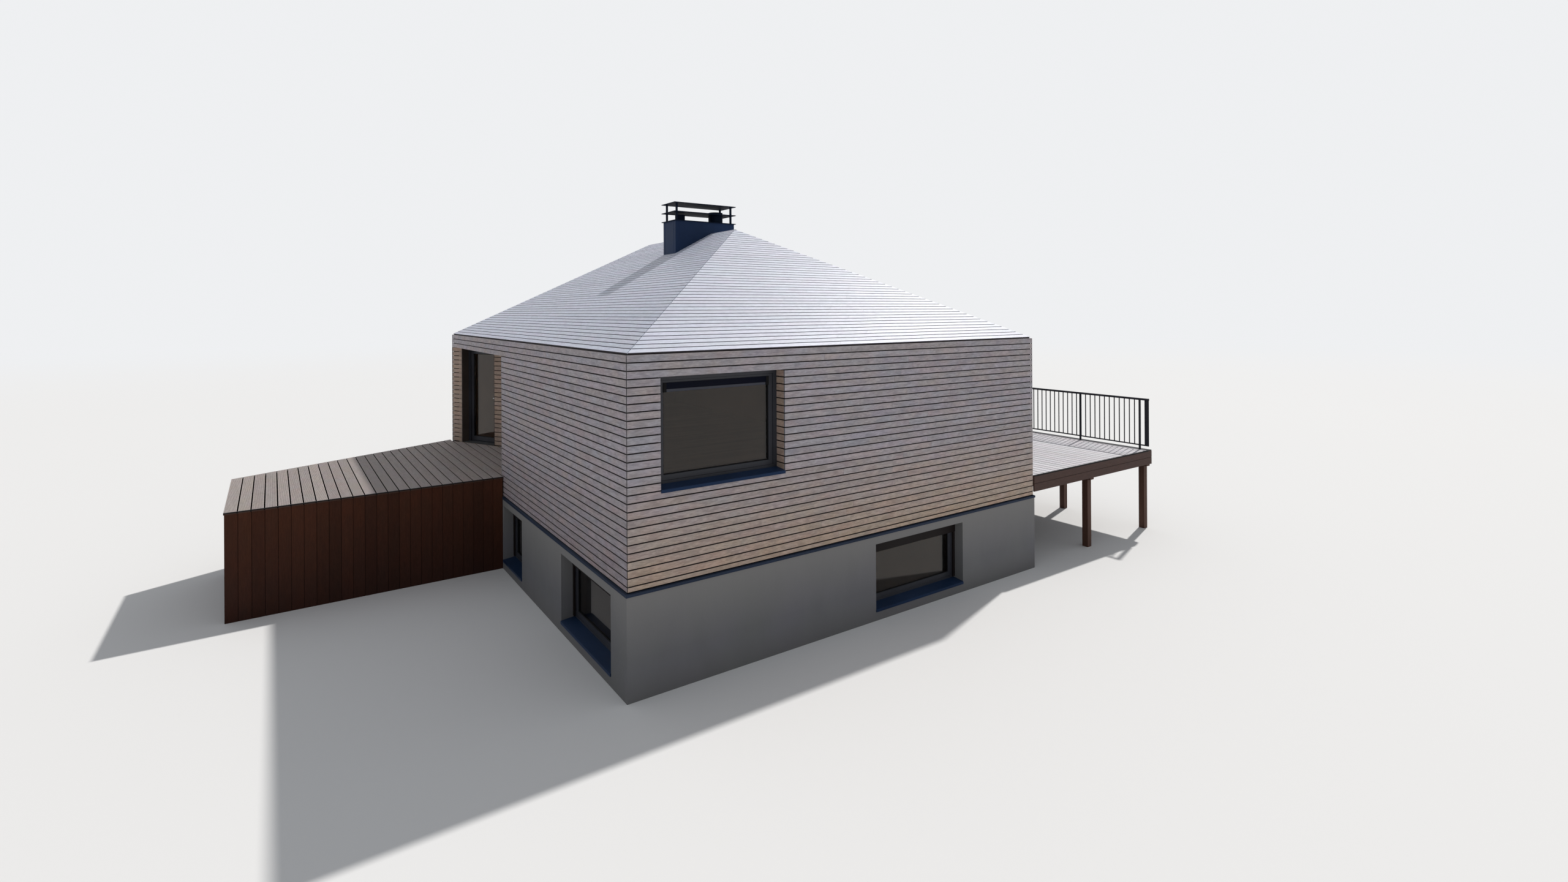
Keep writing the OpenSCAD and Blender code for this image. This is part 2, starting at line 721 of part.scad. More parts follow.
// A knuckle and the web that carries it, to the left or to the right of the hinge axis
module knuckle(z, side) {
    translate([hinge_axis[0], hinge_axis[1], z[0]]) cylinder(d = knuckle_d, h = z[1] - z[0]);
    block([hinge_axis[0] + min(side, 0), hinge_axis[0] + max(side, 0)], [leaf_y[1], hinge_axis[1]], z);
}

module door_hinges() set_out() color(steel) on_entrance() for (z = hinge_zs) {
    knuckle([z, z + hinge_h / 4], -2 * knuckle_d);
    knuckle([z + hinge_h * 3 / 4, z + hinge_h], -2 * knuckle_d);
    translate([hinge_axis[0], hinge_axis[1], z]) cylinder(d = pin_d, h = hinge_h);
}

module leaf_hinges() set_out() color(steel) on_entrance() for (z = hinge_zs) difference() {
    knuckle([z + hinge_h / 4 + knuckle_gap, z + hinge_h * 3 / 4 - knuckle_gap], 2 * knuckle_d);
    translate([hinge_axis[0], hinge_axis[1], z]) cylinder(d = pin_d + 2 * pin_play, h = hinge_h);
}

// A lever on each face of the stile away from the hinges
module door_handle() set_out() color(steel) on_entrance()
    for (side = [[leaf_y[0], 90], [leaf_y[1], -90]])
        translate([leaf_x[1] - stile_w / 2, side[0], floor_z + handle_h]) rotate([side[1], 0, 0]) {
            cylinder(d = rose_d, h = rose_t);
            cylinder(d = lever_d, h = handle_reach - lever_d / 2);
            translate([lever_d / 2, 0, handle_reach - lever_d / 2]) rotate([0, -90, 0])
                cylinder(d = lever_d, h = lever_len);
        }

/* The entry deck */

module entry_deck() set_out() color(deck_timber) prism([
    [-entry_len, entry_near_y], [-deck_gap, entry_near_y],
    [-deck_gap, far_edge_y(-deck_gap, 0)], [-entry_len, far_edge_y(-entry_len, 0)]
], [floor_z - plank_t, floor_z]);

module recess_deck() set_out() color(deck_timber)
    prism(recess_plan(-deck_gap, deck_gap), [floor_z - plank_t, floor_z]);

// Skirt boards close the three free sides of the entry deck, down to the ground
module entry_skirt() set_out() color(dark_timber) {
    x = span(skirt_setback - entry_len, 0, skirt_t);
    y = span(entry_near_y + skirt_setback, 0, skirt_t);
    z = [0, floor_z - plank_t];
    side = [x[1] + skirt_joint, -base_proud];
    far = span(skirt_setback, 0, skirt_t);
    prism([
        [x[0], y[0]], [x[1], y[0]], [x[1], far_edge_y(x[1], far[0])], [x[0], far_edge_y(x[0], far[0])]
    ], z);
    block(side, y, z);
    prism([
        [side[0], far_edge_y(side[0], far[1])], [side[1], far_edge_y(side[1], far[1])],
        [side[1], far_edge_y(side[1], far[0])], [side[0], far_edge_y(side[0], far[0])]
    ], z);
}

/* The terrace */

terrace_ys = [0, terrace_end_y - fascia_t];
terrace_xs = [front_len, terrace_end_x - fascia_t];
terrace_joist_z = span(floor_z - plank_t, -joist_h, 0);

module terrace_deck() set_out() color(deck_timber)
    block(terrace_xs + [deck_gap, 0], terrace_ys, [floor_z - plank_t, floor_z]);

module terrace_fascia() set_out() color(dark_timber) {
    z = span(floor_z - fascia_drop, -2 * fascia_board_h, 0);
    for (y = [terrace_ys[0] - fascia_t, terrace_ys[1]])
        block(terrace_xs + [0, -fascia_joint], [y, y + fascia_t], z);
    block([terrace_xs[1], terrace_end_x], terrace_ys + [-fascia_t, fascia_t], z);
}

// Joists between a ledger on the house and a rim behind the outer fascia
module terrace_joists() set_out() color(dark_timber) {
    for (y = spread(terrace_ys[0], terrace_ys[1] - joist_w, joist_spacing))
        block(terrace_xs + [joist_w, -joist_w], [y, y + joist_w], terrace_joist_z);
    for (x = [terrace_xs[0], terrace_xs[1] - joist_w])
        block([x, x + joist_w], terrace_ys, terrace_joist_z);
}

beam_xs = [terrace_xs[0] + (terrace_xs[1] - terrace_xs[0]) * 0.45, terrace_xs[1] - terrace_post_w];
post_ys = spread(terrace_ys[0] + joist_w, terrace_ys[1] - joist_w - terrace_post_w, terrace_post_spacing);

module terrace_beams() set_out() color(dark_timber) for (x = beam_xs)
    block([x, x + terrace_post_w], terrace_ys, span(terrace_joist_z[0], -beam_h, 0));

module terrace_posts() set_out() color(dark_timber) for (x = beam_xs, y = post_ys)
    block([x, x + terrace_post_w], [y, y + terrace_post_w], [0, terrace_joist_z[0] - beam_h]);

/* The railing */

railing_ys = [terrace_ys[0] - fascia_t, terrace_end_y];
railing_post_ys = [
    for (y = railing_ys[0] + railing_end_bay; y < railing_ys[1] - end_bar_w; y = y + railing_bay) y
];
top_rail_z = span(floor_z + railing_h, -top_rail_h, 0);
bottom_rail_z = span(floor_z + bottom_rail_lift, 0, bottom_rail_h);

module railing_bar(w, y, z) block([railing_x - w / 2, railing_x + w / 2], y, z);

// The steel strip at the terrace edge carries the posts, rails and balusters
module railing() set_out() color(metal) {
    block([railing_x - railing_t, terrace_end_x], railing_ys, span(floor_z, 0, edge_strip_t));
    railing_bar(top_rail_w, railing_ys, top_rail_z);
    railing_bar(railing_t, railing_ys, bottom_rail_z);
    for (y = railing_post_ys)
        railing_bar(railing_t, span(y, -railing_post_w / 2, railing_post_w / 2), [floor_z, top_rail_z[1]]);
    for (y = [railing_ys[0], railing_ys[1] - end_bar_w])
        railing_bar(railing_t, span(y, 0, end_bar_w), [bottom_rail_z[0], top_rail_z[1]]);
    for (y = spread(railing_ys[0] + end_bar_w, railing_ys[1] - end_bar_w, baluster_pitch))
        railing_bar(baluster_w, span(y, -baluster_w / 2, baluster_w / 2), [bottom_rail_z[0], top_rail_z[1]]);
}

base_floor();
base_wall_front();
base_wall_right();
base_wall_back();
base_wall_left();
base_window_frames();
base_window_glass();
window_sills();
drip_flashing();
floor_slab();
wall_front();
wall_right();
wall_back();
wall_left();
recess_side_wall();
entrance_wall();
entrance_head();
recess_header();
recess_soffit();
wall_cladding();
door_lining();
door_frame();
door_hinges();
door_leaf();
leaf_hinges();
door_glass();
door_handle();
upper_window_frames();
window_sash();
upper_window_glass();
roof_front();
roof_right();
roof_back();
roof_left();
roof_cladding();
chimney_shaft();
chimney_cap();
chimney_flues();
entry_deck();
recess_deck();
entry_skirt();
terrace_deck();
terrace_fascia();
terrace_joists();
terrace_beams();
terrace_posts();
railing();
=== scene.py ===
import itertools
import math
import random

import bmesh
import bpy
from bpy.props import FloatProperty, FloatVectorProperty, IntProperty, PointerProperty
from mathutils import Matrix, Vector


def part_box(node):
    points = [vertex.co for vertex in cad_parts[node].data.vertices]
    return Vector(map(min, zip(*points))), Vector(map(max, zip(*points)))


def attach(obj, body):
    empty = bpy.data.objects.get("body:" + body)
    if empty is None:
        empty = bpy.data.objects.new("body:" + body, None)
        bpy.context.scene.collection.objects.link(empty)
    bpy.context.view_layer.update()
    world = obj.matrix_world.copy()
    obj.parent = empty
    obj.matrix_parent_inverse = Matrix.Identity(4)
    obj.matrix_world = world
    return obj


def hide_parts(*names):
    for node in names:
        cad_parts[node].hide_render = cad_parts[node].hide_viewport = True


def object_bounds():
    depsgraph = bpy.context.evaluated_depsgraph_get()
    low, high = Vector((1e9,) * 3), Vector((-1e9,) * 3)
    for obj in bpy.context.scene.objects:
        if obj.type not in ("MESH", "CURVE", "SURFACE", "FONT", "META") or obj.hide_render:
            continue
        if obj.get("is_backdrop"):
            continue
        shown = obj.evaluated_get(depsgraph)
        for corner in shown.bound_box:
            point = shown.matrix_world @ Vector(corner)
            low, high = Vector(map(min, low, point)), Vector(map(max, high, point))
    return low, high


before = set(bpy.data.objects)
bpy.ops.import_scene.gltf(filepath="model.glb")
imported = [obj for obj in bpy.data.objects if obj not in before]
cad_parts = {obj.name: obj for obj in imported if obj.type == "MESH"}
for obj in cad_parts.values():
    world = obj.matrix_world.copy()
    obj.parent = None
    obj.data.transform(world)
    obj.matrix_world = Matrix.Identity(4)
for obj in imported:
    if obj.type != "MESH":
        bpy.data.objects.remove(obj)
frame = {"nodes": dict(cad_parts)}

bl_info = {
    "name": "Beach House",
    "version": (1, 0, 0),
    "blender": (4, 5, 0),
    "location": "3D View > Sidebar > Beach House",
    "description": "Boards, trims and finishes of a timber clad beach house",
    "category": "Object",
}

CAD_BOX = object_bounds()
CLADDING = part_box("wall_cladding")
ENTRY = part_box("entry_deck")
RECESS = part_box("recess_deck")
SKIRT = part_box("entry_skirt")
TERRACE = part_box("terrace_deck")
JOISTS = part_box("terrace_joists")
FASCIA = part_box("terrace_fascia")
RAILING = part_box("railing")
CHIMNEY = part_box("chimney_shaft")
DOOR_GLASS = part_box("door_glass")
CORNER = CLADDING[0].xy
PLANK_T = TERRACE[1].z - TERRACE[0].z

# A fitted piece stays this far from the part beside it
TOUCH = 0.0005
# No board is laid in a course that is lower than this
LEAST_BOARD = 0.03
# Marks on the faces of a board, by which the finish paints shade on its sides and back and darkens its grooves
FACE, EDGE, BACK, SAWN = 0.0, 0.3, 0.5, 1.0


def length(name, description, default):
    return FloatProperty(
        name=name, description=description, default=default, min=0.0, subtype="DISTANCE", unit="LENGTH"
    )


def angle(name, description, degrees):
    return FloatProperty(name=name, description=description, default=math.radians(degrees), subtype="ANGLE")


def colour(name, description, default):
    return FloatVectorProperty(
        name=name, description=description, default=default, size=3, min=0.0, max=1.0, subtype="COLOR"
    )


class BEACHHOUSE_PG_plan(bpy.types.PropertyGroup):
    front: length("Front", "Length of the front wall", CLADDING[1].x - CLADDING[0].x)
    right: length("Right", "Length of the right wall", CLADDING[1].y - CLADDING[0].y)
    skew: angle("Skew", "Turn of the back wall away from square", 26.6)
    pitch: angle("Roof pitch", "Pitch of the four roof slopes", 28.2)
    eaves: length("Eaves", "Height of the eaves", 4.2)
    head: length("Heads", "Height of the door and window heads", 3.9)
    floor: length("Floor", "Height of the decks and of the floor", TERRACE[1].z)
    foot: length("Cladding foot", "Height of the top of the flashing below the wall boards", CLADDING[0].z)
    vent: length("Vent", "Open joint below the wall boards, with a dark strip in it", 0.012)
    recess: length("Recess", "Distance from the front corner to the entrance recess", 5.81)
    door_start: length("Doorway start", "Distance from the far corner to the doorway", 0.34)
    door_width: length("Doorway width", "Width of the doorway", 1.09)
    window_start: length("Window start", "Distance from the front corner to the upper window", 0.45)
    window_width: length("Window width", "Width of the upper window", 1.88)
    window_height: length("Window height", "Height of the upper window", 1.4)
    back_window: length("Back window", "Distance from the right corner to the back window", 3.2)
    terrace_window: length("Terrace window", "Distance from the front wall to the terrace window", 1.6)
    terrace_window_width: length("Terrace window width", "Width of the terrace window", 2.4)
    lower_window: length("Lower window", "Distance from the front corner to the lower front window", 4.0)
    lower_window_width: length("Lower window width", "Width of the lower front window", 1.95)
    left_window: length("Left window", "Distance from the front corner to the first lower left window", 0.49)
    left_window_width: length("Left window width", "Width of the first lower left window", 1.91)
    second_window: length("Second window", "Distance from the front corner to the second one", 4.45)
    second_window_width: length("Second window width", "Width of the second lower left window", 1.19)
    lower_head: length("Lower heads", "Height of the heads of the lower windows", 1.16)
    lower_height: length("Lower window height", "Height of the lower windows", 0.99)
    reveal: length("Reveal", "Depth of the window reveals", 0.2)
    frame: length("Frame", "Width of the window frames", 0.06)
    sash: length("Sash", "Width of the sash of the upper windows", 0.072)


class BEACHHOUSE_PG_boards(bpy.types.PropertyGroup):
    course: length("Course", "Height of one course of wall or roof boards", 0.1)
    first_gap: length("First gap", "Drop of the first open joint below the eaves", 0.006)
    gap: length("Gap", "Open joint between two wall boards", 0.015)
    roof_gap: length("Roof gap", "Open joint between two roof boards", 0.015)
    roof_start: length("Roof start", "Setback of the lowest roof board from the eaves, along the slope", 0.030)
    thickness: length("Thickness", "Thickness of the wall and roof boards", 0.020)
    chamfer: length("Chamfer", "Eased edge of the boards", 0.0018)
    mitre_gap: length("Mitre gap", "Open joint at the mitred corners, on each board", 0.006)
    longest: length("Longest board", "Length of the longest wall or roof board", 4.8)
    butt_gap: length("Butt gap", "Open joint where two wall or roof boards meet end to end", 0.002)
    plank_pitch: length("Plank pitch", "Pitch of the deck planks and skirt boards", 0.17)
    plank_gap: length("Plank gap", "Open joint between two deck planks", 0.019)
    grooves: IntProperty(name="Grooves", description="Grooves in one entry deck plank", default=11, min=0)
    seed: IntProperty(name="Seed", description="Seed of the variation between boards", default=7)


class BEACHHOUSE_PG_colours(bpy.types.PropertyGroup):
    wall: colour("Wall boards", "Weathered wall boards", (0.392, 0.383, 0.426))
    sheltered: colour("Sheltered boards", "Boards of the reveals and the recess", (0.41, 0.325, 0.27))
    # The blue cast of the roof colour is partly the silvered boards' own colour and partly painted reflection of
    # the sky
    roof: colour("Roof boards", "Silvered roof boards", (0.59, 0.64, 0.755))
    deck: colour("Deck planks", "Weathered deck planks", (0.45, 0.412, 0.402))
    terrace: colour("Terrace planks", "Bleached planks of the terrace", (0.545, 0.555, 0.60))
    dark: colour("Dark boards", "Dark stained skirt and fascia boards", (0.060, 0.0215, 0.0110))
    masonry: colour("Masonry", "Smooth render of the lower storey", (0.165, 0.167, 0.176))
    frame: colour("Frames", "Window and door frames", (0.032, 0.034, 0.043))
    sheet: colour("Sills", "Window sills", (0.0065, 0.023, 0.066))
    flashing: colour("Flashing", "Flashing below the wall boards", (0.020, 0.031, 0.058))
    chimney: colour("Chimney", "Chimney casing and cap", (0.0138, 0.0305, 0.078))
    railing: colour("Railing", "Railing of the terrace", (0.024, 0.025, 0.031))
    # The brown of the glass tint is partly its own tint and partly painted reflection of the sand
    glass: colour("Glass", "Tint of the window glass", (0.46, 0.36, 0.28))
    plaster: colour("Plaster", "Painted inside of the walls", (0.56, 0.46, 0.36))
    membrane: colour("Membrane", "Membrane behind the wall and roof boards", (0.009, 0.006, 0.006))
    floor: colour("Floor", "Oiled boards of the upper floor", (0.36, 0.25, 0.15))


class BEACHHOUSE_PG_house(bpy.types.PropertyGroup):
    plan: PointerProperty(type=BEACHHOUSE_PG_plan)
    boards: PointerProperty(type=BEACHHOUSE_PG_boards)
    colours: PointerProperty(type=BEACHHOUSE_PG_colours)


# Plan of the house


class Side:
    """A straight side of a plan, walked with the house on the left, and how far it turns at its two corners."""

    def __init__(self, start, end, turns=(0, 0)):
        self.start = Vector(start)
        self.along = (Vector(end) - self.start).normalized()
        self.inward = Vector((-self.along.y, self.along.x))
        self.length = (Vector(end) - self.start).length
        self.mitres = tuple(math.tan(turn / 2) for turn in turns)

    def place(self, u, depth, z):
        point = self.start + u * self.along + depth * self.inward
        return Vector((point.x, point.y, z))

    def level(self, u, z, depth):
        """Place on a board that runs along the side."""
        return self.place(u, depth, z)

    def upright(self, z, u, depth):
        """Place on a board that runs upward."""
        return self.place(u, depth, z)


def corners(plan):
    """The corners of the house, and the two inner corners of the entrance recess."""
    left = plan.right - plan.front * math.tan(plan.skew)
    inner = (left - plan.recess) * math.tan(plan.skew)
    return [CORNER + Vector(point) for point in (
        (0, 0), (plan.front, 0), (plan.front, plan.right), (0, left), (inner, plan.recess), (0, plan.recess)
    )]


def outline(box):
    """The corners of a box seen from above."""
    low, high = box
    return [Vector(point) for point in ((low.x, low.y), (high.x, low.y), (high.x, high.y), (low.x, high.y))]


def ring_of_sides(points):
    """One side for each pair of corners, with the turns at both of its ends."""
    count = len(points)
    heading = []
    for i in range(count):
        step = points[(i + 1) % count] - points[i]
        heading.append(math.atan2(step.y, step.x))
    turns = [(heading[i] - heading[i - 1] + math.pi) % (2 * math.pi) - math.pi for i in range(count)]
    return [Side(points[i], points[(i + 1) % count], (turns[i], turns[(i + 1) % count])) for i in range(count)]


def recessed_sides(plan):
    """The sides below the heads, in order: front, right, back, entrance, side of the recess and left."""
    return ring_of_sides(corners(plan))


def whole_sides(plan):
    """The sides above the heads, where the recess is roofed over: front, right, back and left."""
    return ring_of_sides(corners(plan)[:4])


def upper_openings(plan):
    """The front, back and terrace windows as left, right, bottom and top, on the first three whole sides."""
    bottom = plan.head - plan.window_height
    front, back, terrace = plan.window_start, plan.back_window, plan.terrace_window
    return (
        (front, front + plan.window_width, bottom, plan.head),
        (back, back + plan.window_width, bottom, plan.head),
        (terrace, terrace + plan.terrace_window_width, plan.floor, plan.head),
    )


def lower_openings(plan):
    """The lower windows: the side of each, and its two ends along that side."""
    front, left = whole_sides(plan)[0], whole_sides(plan)[3]
    openings = [(front, plan.lower_window, plan.lower_window_width)]
    for distance, width in (
        (plan.left_window, plan.left_window_width), (plan.second_window, plan.second_window_width)
    ):
        openings.append((left, left.length - distance - width, width))
    return [(side, start, start + width) for side, start, width in openings]


def far_edge(plan, x):
    """Far edge of the entry deck, parallel to the back wall."""
    return ENTRY[1].y + (x - ENTRY[1].x) * math.tan(plan.skew)


# Boards


def reach(limit, across, deep):
    """Where a board ends at one place of its profile. The limit is a number, or a function of that place."""
    return limit(across, deep) if callable(limit) else limit


def sloped(at, slope):
    """End of a board that is cut at a slope through its depth."""
    return lambda across, deep: at + deep * slope


class BoardSet:
    """Collects closed boards, each with its grain in a UV map and its own tone, and a mark on every face."""

    def __init__(self, seed):
        self.random = random.Random(seed)
        self.points, self.faces, self.uvs, self.tones = [], [], [], []

    def board(self, profile, place, start, end):
        """Draws the profile, a list of places across and deep, out between two limits."""
        pick = self.random
        tone = (pick.random(), pick.random(), pick.random())
        shift = (pick.uniform(0, 40), pick.uniform(0, 40))
        base, count = len(self.points), len(profile)
        ends = [[reach(limit, *point) for point in profile] for limit in (start, end)]
        for line in ends:
            self.points += [place(at, *point) for at, point in zip(line, profile)]
        back = max(deep for across, deep in profile)
        run = 0.0
        for i in range(count):
            j = (i + 1) % count
            step = math.dist(profile[i], profile[j])
            deeps = (profile[i][1], profile[j][1])
            mark = BACK if max(deeps) > 0.7 * back else EDGE if min(deeps) > 0.0015 else FACE
            self.faces.append((base + i, base + j, base + count + j, base + count + i))
            self.tones += [(*tone, mark)] * 4
            self.uvs.append([
                (ends[line][k] + shift[0], across + shift[1])
                for line, k, across in ((0, i, run), (0, j, run + step), (1, j, run + step), (1, i, run))
            ])
            run += step
        for first in (base, base + count):
            self.faces.append(tuple(range(first, first + count)))
            self.tones += [(*tone, SAWN)] * count
            self.uvs.append([(across * 0.1 + shift[0], deep + shift[1]) for across, deep in profile])

    def make(self, name, material, replaces=(), body="house"):
        mesh = bpy.data.meshes.new(name)
        mesh.from_pydata([tuple(point) for point in self.points], [], self.faces)
        grain = mesh.uv_layers.new(name="grain")
        grain.data.foreach_set("uv", [value for face in self.uvs for uv in face for value in uv])
        tone = mesh.color_attributes.new("tone", "FLOAT_COLOR", "CORNER")
        tone.data.foreach_set("color", [value for entry in self.tones for value in entry])
        mesh.materials.append(material)
        dress(name, mesh, replaces, body)


def dress(name, mesh, replaces=(), body="house"):
    """Makes an object of a mesh, with its faces turned outward, hangs it on the empty of its body, and hides the
    CAD parts it replaces.
    """
    work = bmesh.new()
    work.from_mesh(mesh)
    bmesh.ops.recalc_face_normals(work, faces=work.faces)
    work.to_mesh(mesh)
    work.free()
    piece = bpy.data.objects.new(name, mesh)
    bpy.context.scene.collection.objects.link(piece)
    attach(piece, body)
    if replaces:
        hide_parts(*replaces)


def lay(house, boards, name, material, replaces=(), body="house", seed=0):
    """Makes one piece of the boards that a function lays for the house."""
    laid = BoardSet(house.boards.seed + seed)
    boards(house, laid)
    laid.make(name, material, replaces, body)


def slat(low, high, front, back):
    """Profile of a plain square slat."""
    return [(low, front), (high, front), (high, back), (low, back)]


def eased(low, high, thickness, chamfer):
    """Profile of a board with both long edges of its face eased."""
    return [
        (low, thickness), (low, chamfer), (low + chamfer, 0.0),
        (high - chamfer, 0.0), (high, chamfer), (high, thickness),
    ]


def grooved(low, high, grooves):
    """Profile of a deck plank with grooves along its face."""
    chamfer, half_mouth, half_bed, depth = 0.003, 0.0036, 0.0028, 0.003
    points = [(high, PLANK_T), (low, PLANK_T), (low, chamfer), (low + chamfer, 0.0)]
    step = (high - low) / (grooves + 1)
    for i in range(1, grooves + 1):
        middle = low + i * step
        points += [
            (middle - half_mouth, 0.0), (middle - half_bed, depth),
            (middle + half_bed, depth), (middle + half_mouth, 0.0),
        ]
    return points + [(high - chamfer, 0.0), (high, chamfer)]


def lapped(low, high):
    """Profile of an upright skirt board whose back laps behind the open joint."""
    thickness, lap, half_gap, chamfer, touch = 0.027, 0.008, 0.003, 0.0015, 0.0003
    left, right = low + half_gap, high - half_gap
    return [
        (left, chamfer), (left + chamfer, 0.0), (right - chamfer, 0.0), (right, chamfer), (right, lap),
        (high - touch, lap), (high - touch, thickness), (low + touch, thickness), (low + touch, lap), (left, lap),
    ]


def courses(house, low, high):
    """Lower and upper edges of the boards between two heights, in line all round the house."""
    boards = house.boards
    top = house.plan.eaves - boards.first_gap
    result = []
    for index in itertools.count():
        z1 = top - index * boards.course - boards.gap / 2
        z0 = z1 - boards.course + boards.gap
        if z1 <= low:
            return result
        z0, z1 = max(z0, low), min(z1, high)
        if z1 - z0 > LEAST_BOARD:
            result.append((z0, z1))


def clear_spans(start, end, holes, z0, z1):
    """Parts of a course that miss the holes, with a mark on each end that is at a hole."""
    spans = []
    at, at_hole = start, False
    for left, right, bottom, top in sorted(holes):
        if min(z1, top) - max(z0, bottom) > LEAST_BOARD:
            if left > at:
                spans.append((at, left, at_hole, True))
            at, at_hole = right, True
    if at < end:
        spans.append((at, end, at_hole, False))
    return spans


def butt_joints(pick, begin, stop, longest):
    """Places where the boards of one course meet end to end, each off its even place by a share of the pitch."""
    stagger = 0.28
    pieces = max(1, math.ceil((stop - begin) / longest))
    return [
        begin + (stop - begin) * (i + pick.uniform(-stagger, stagger)) / pieces for i in range(1, pieces)
    ]


def wall_run(house, laid, side, low, high, holes=(), ends=(None, None)):
    """Level boards along one side. An end is mitred, or cut square at a distance from the corner."""
    boards = house.boards
    at_window = (TOUCH, 0.0)
    cuts = [
        (boards.mitre_gap, mitre) if distance is None else (distance, 0.0)
        for mitre, distance in zip(side.mitres, ends)
    ]
    for z0, z1 in courses(house, low, high):
        profile = eased(z0, z1, boards.thickness, boards.chamfer)
        for a, b, hole_a, hole_b in clear_spans(0.0, side.length, holes, z0, z1):
            start, start_slope = at_window if hole_a else cuts[0]
            end, end_slope = at_window if hole_b else cuts[1]
            joints = butt_joints(laid.random, a + start, b - end, boards.longest)
            starts = [sloped(a + start, start_slope)] + [u + boards.butt_gap / 2 for u in joints]
            stops = [u - boards.butt_gap / 2 for u in joints] + [sloped(b - end, -end_slope)]
            for begin, stop in zip(starts, stops):
                laid.board(profile, side.level, begin, stop)


def lining(house, laid, side, hole):
    """The boards in a window reveal, behind the wall boards: two cheeks and the head."""
    boards, plan = house.boards, house.plan
    left, right, bottom, top = hole
    first = boards.thickness + 0.003
    for z0, z1 in courses(house, bottom + 0.001, top):
        profile = eased(z0, z1, boards.thickness, boards.chamfer)
        for edge, outward in ((left, -1), (right, 1)):
            laid.board(
                profile, lambda u, z, deep: side.place(edge + outward * deep, u, z), first, plan.reveal - 0.001
            )
    width = (plan.reveal - first) / 2
    for i in range(2):
        profile = eased(first + i * width, first + (i + 1) * width - 0.004, boards.thickness, boards.chamfer)
        laid.board(profile, lambda u, across, deep: side.place(u, across, top + deep), left + 0.002, right - 0.002)


def lay_walls(house, laid):
    """The boards of the upper walls."""
    plan, boards = house.plan, house.boards
    below, above = recessed_sides(plan), whole_sides(plan)
    front_hole, back_hole, terrace_hole = upper_openings(plan)
    below_floor = 0.4
    terrace_hole = (*terrace_hole[:2], plan.floor - below_floor, plan.head)
    foot = plan.foot + plan.vent
    wall_run(house, laid, above[0], foot, plan.eaves, [front_hole])
    wall_run(house, laid, above[1], foot, plan.eaves, [terrace_hole])
    wall_run(house, laid, above[2], plan.head, plan.eaves)
    wall_run(house, laid, above[3], plan.head, plan.eaves)
    wall_run(house, laid, below[2], foot, plan.head, [back_hole], (None, 0.0))
    wall_run(house, laid, below[5], foot, plan.head, [], (boards.thickness + boards.mitre_gap, None))


def lay_sheltered(house, laid):
    """The boards of the recess, the window reveals and the soffit of the recess."""
    plan, boards = house.plan, house.boards
    below, above = recessed_sides(plan), whole_sides(plan)
    entrance, gap = below[3], boards.mitre_gap
    over_deck = (plan.floor + 0.008, plan.head - 0.004)
    door_end = plan.door_start + plan.door_width
    for start, end, ends in (
        (0.0, plan.door_start, (boards.thickness + gap, gap)), (door_end, entrance.length, (gap, 0.0))
    ):
        beside_door = Side(entrance.place(start, 0, 0).xy, entrance.place(end, 0, 0).xy)
        wall_run(house, laid, beside_door, *over_deck, [], ends)
    wall_run(house, laid, below[4], *over_deck, [], (gap, 0.0))
    front_hole, back_hole, terrace_hole = upper_openings(plan)
    lining(house, laid, above[0], front_hole)
    lining(house, laid, below[2], back_hole)
    lining(house, laid, above[1], (*terrace_hole[:2], plan.floor + 0.004, plan.head))
    left, inner = corners(plan)[3].y - CORNER.y, corners(plan)[4].x - CORNER.x
    for i in range(int(inner / boards.course)):
        x0 = 0.024 + i * boards.course
        laid.board(
            eased(x0, x0 + boards.course - boards.gap, boards.thickness, boards.chamfer),
            lambda u, x, deep: Vector((CORNER.x + x, CORNER.y + u, plan.head + 0.001 + deep)),
            plan.recess + 0.004,
            lambda x, deep: max(left - x / math.tan(plan.skew) - 0.008, plan.recess + 0.02),
        )


def roof_side(house, laid, side, hole=None):
    """The courses of one roof slope, mitred at the hips, split by scarf joints and cut round the chimney."""
    plan, boards = house.plan, house.boards
    sine, cosine = math.sin(plan.pitch), math.cos(plan.pitch)
    hip_gap, flashing_gap, least_step = 0.007, 0.006, 0.012
    least_course, least_length, top_edge = 0.02, 0.004, 0.01
    last = (plan.front / 2 - hip_gap) / cosine

    def place(u, s, deep):
        return side.place(u, s * cosine + deep * sine, plan.eaves + s * sine - deep * cosine)

    def left_limit(s, deep):
        return (s * cosine + deep * sine) * side.mitres[0] + hip_gap

    def right_limit(s, deep):
        return side.length - (s * cosine + deep * sine) * side.mitres[1] - hip_gap

    def scarf(u, low):
        return lambda s, deep: u + s - low

    def slab(s0, s1, start, end):
        profile = eased(s0, s1, boards.thickness, boards.chamfer)
        if s1 >= last - 1e-6:
            profile = [(s, deep) if s < s1 - top_edge else (s - deep * sine / cosine, deep) for s, deep in profile]
        if all(reach(end, *point) - reach(start, *point) > least_length for point in profile):
            laid.board(profile, place, start, end)

    s0 = boards.roof_start
    while s0 < last - least_course:
        s1 = min(s0 + boards.course - boards.roof_gap, last)
        begins, stops = [left_limit], [right_limit]
        if hole and s1 * cosine > hole[2]:
            u0, u1, p0 = hole
            begins, stops = [left_limit, u1], [u0, right_limit]
            if s0 * cosine < p0 - least_step:
                slab(s0, p0 / cosine - flashing_gap, u0 + 0.001, u1 - 0.001)
        for begin, stop in zip(begins, stops):
            joints = butt_joints(laid.random, reach(begin, s0, 0), reach(stop, s0, 0), boards.longest)
            starts = [begin] + [scarf(u + boards.butt_gap / 2, s0) for u in joints]
            ends = [scarf(u - boards.butt_gap / 2, s0) for u in joints] + [stop]
            for start, end in zip(starts, ends):
                slab(s0, s1, start, end)
        s0 += boards.course


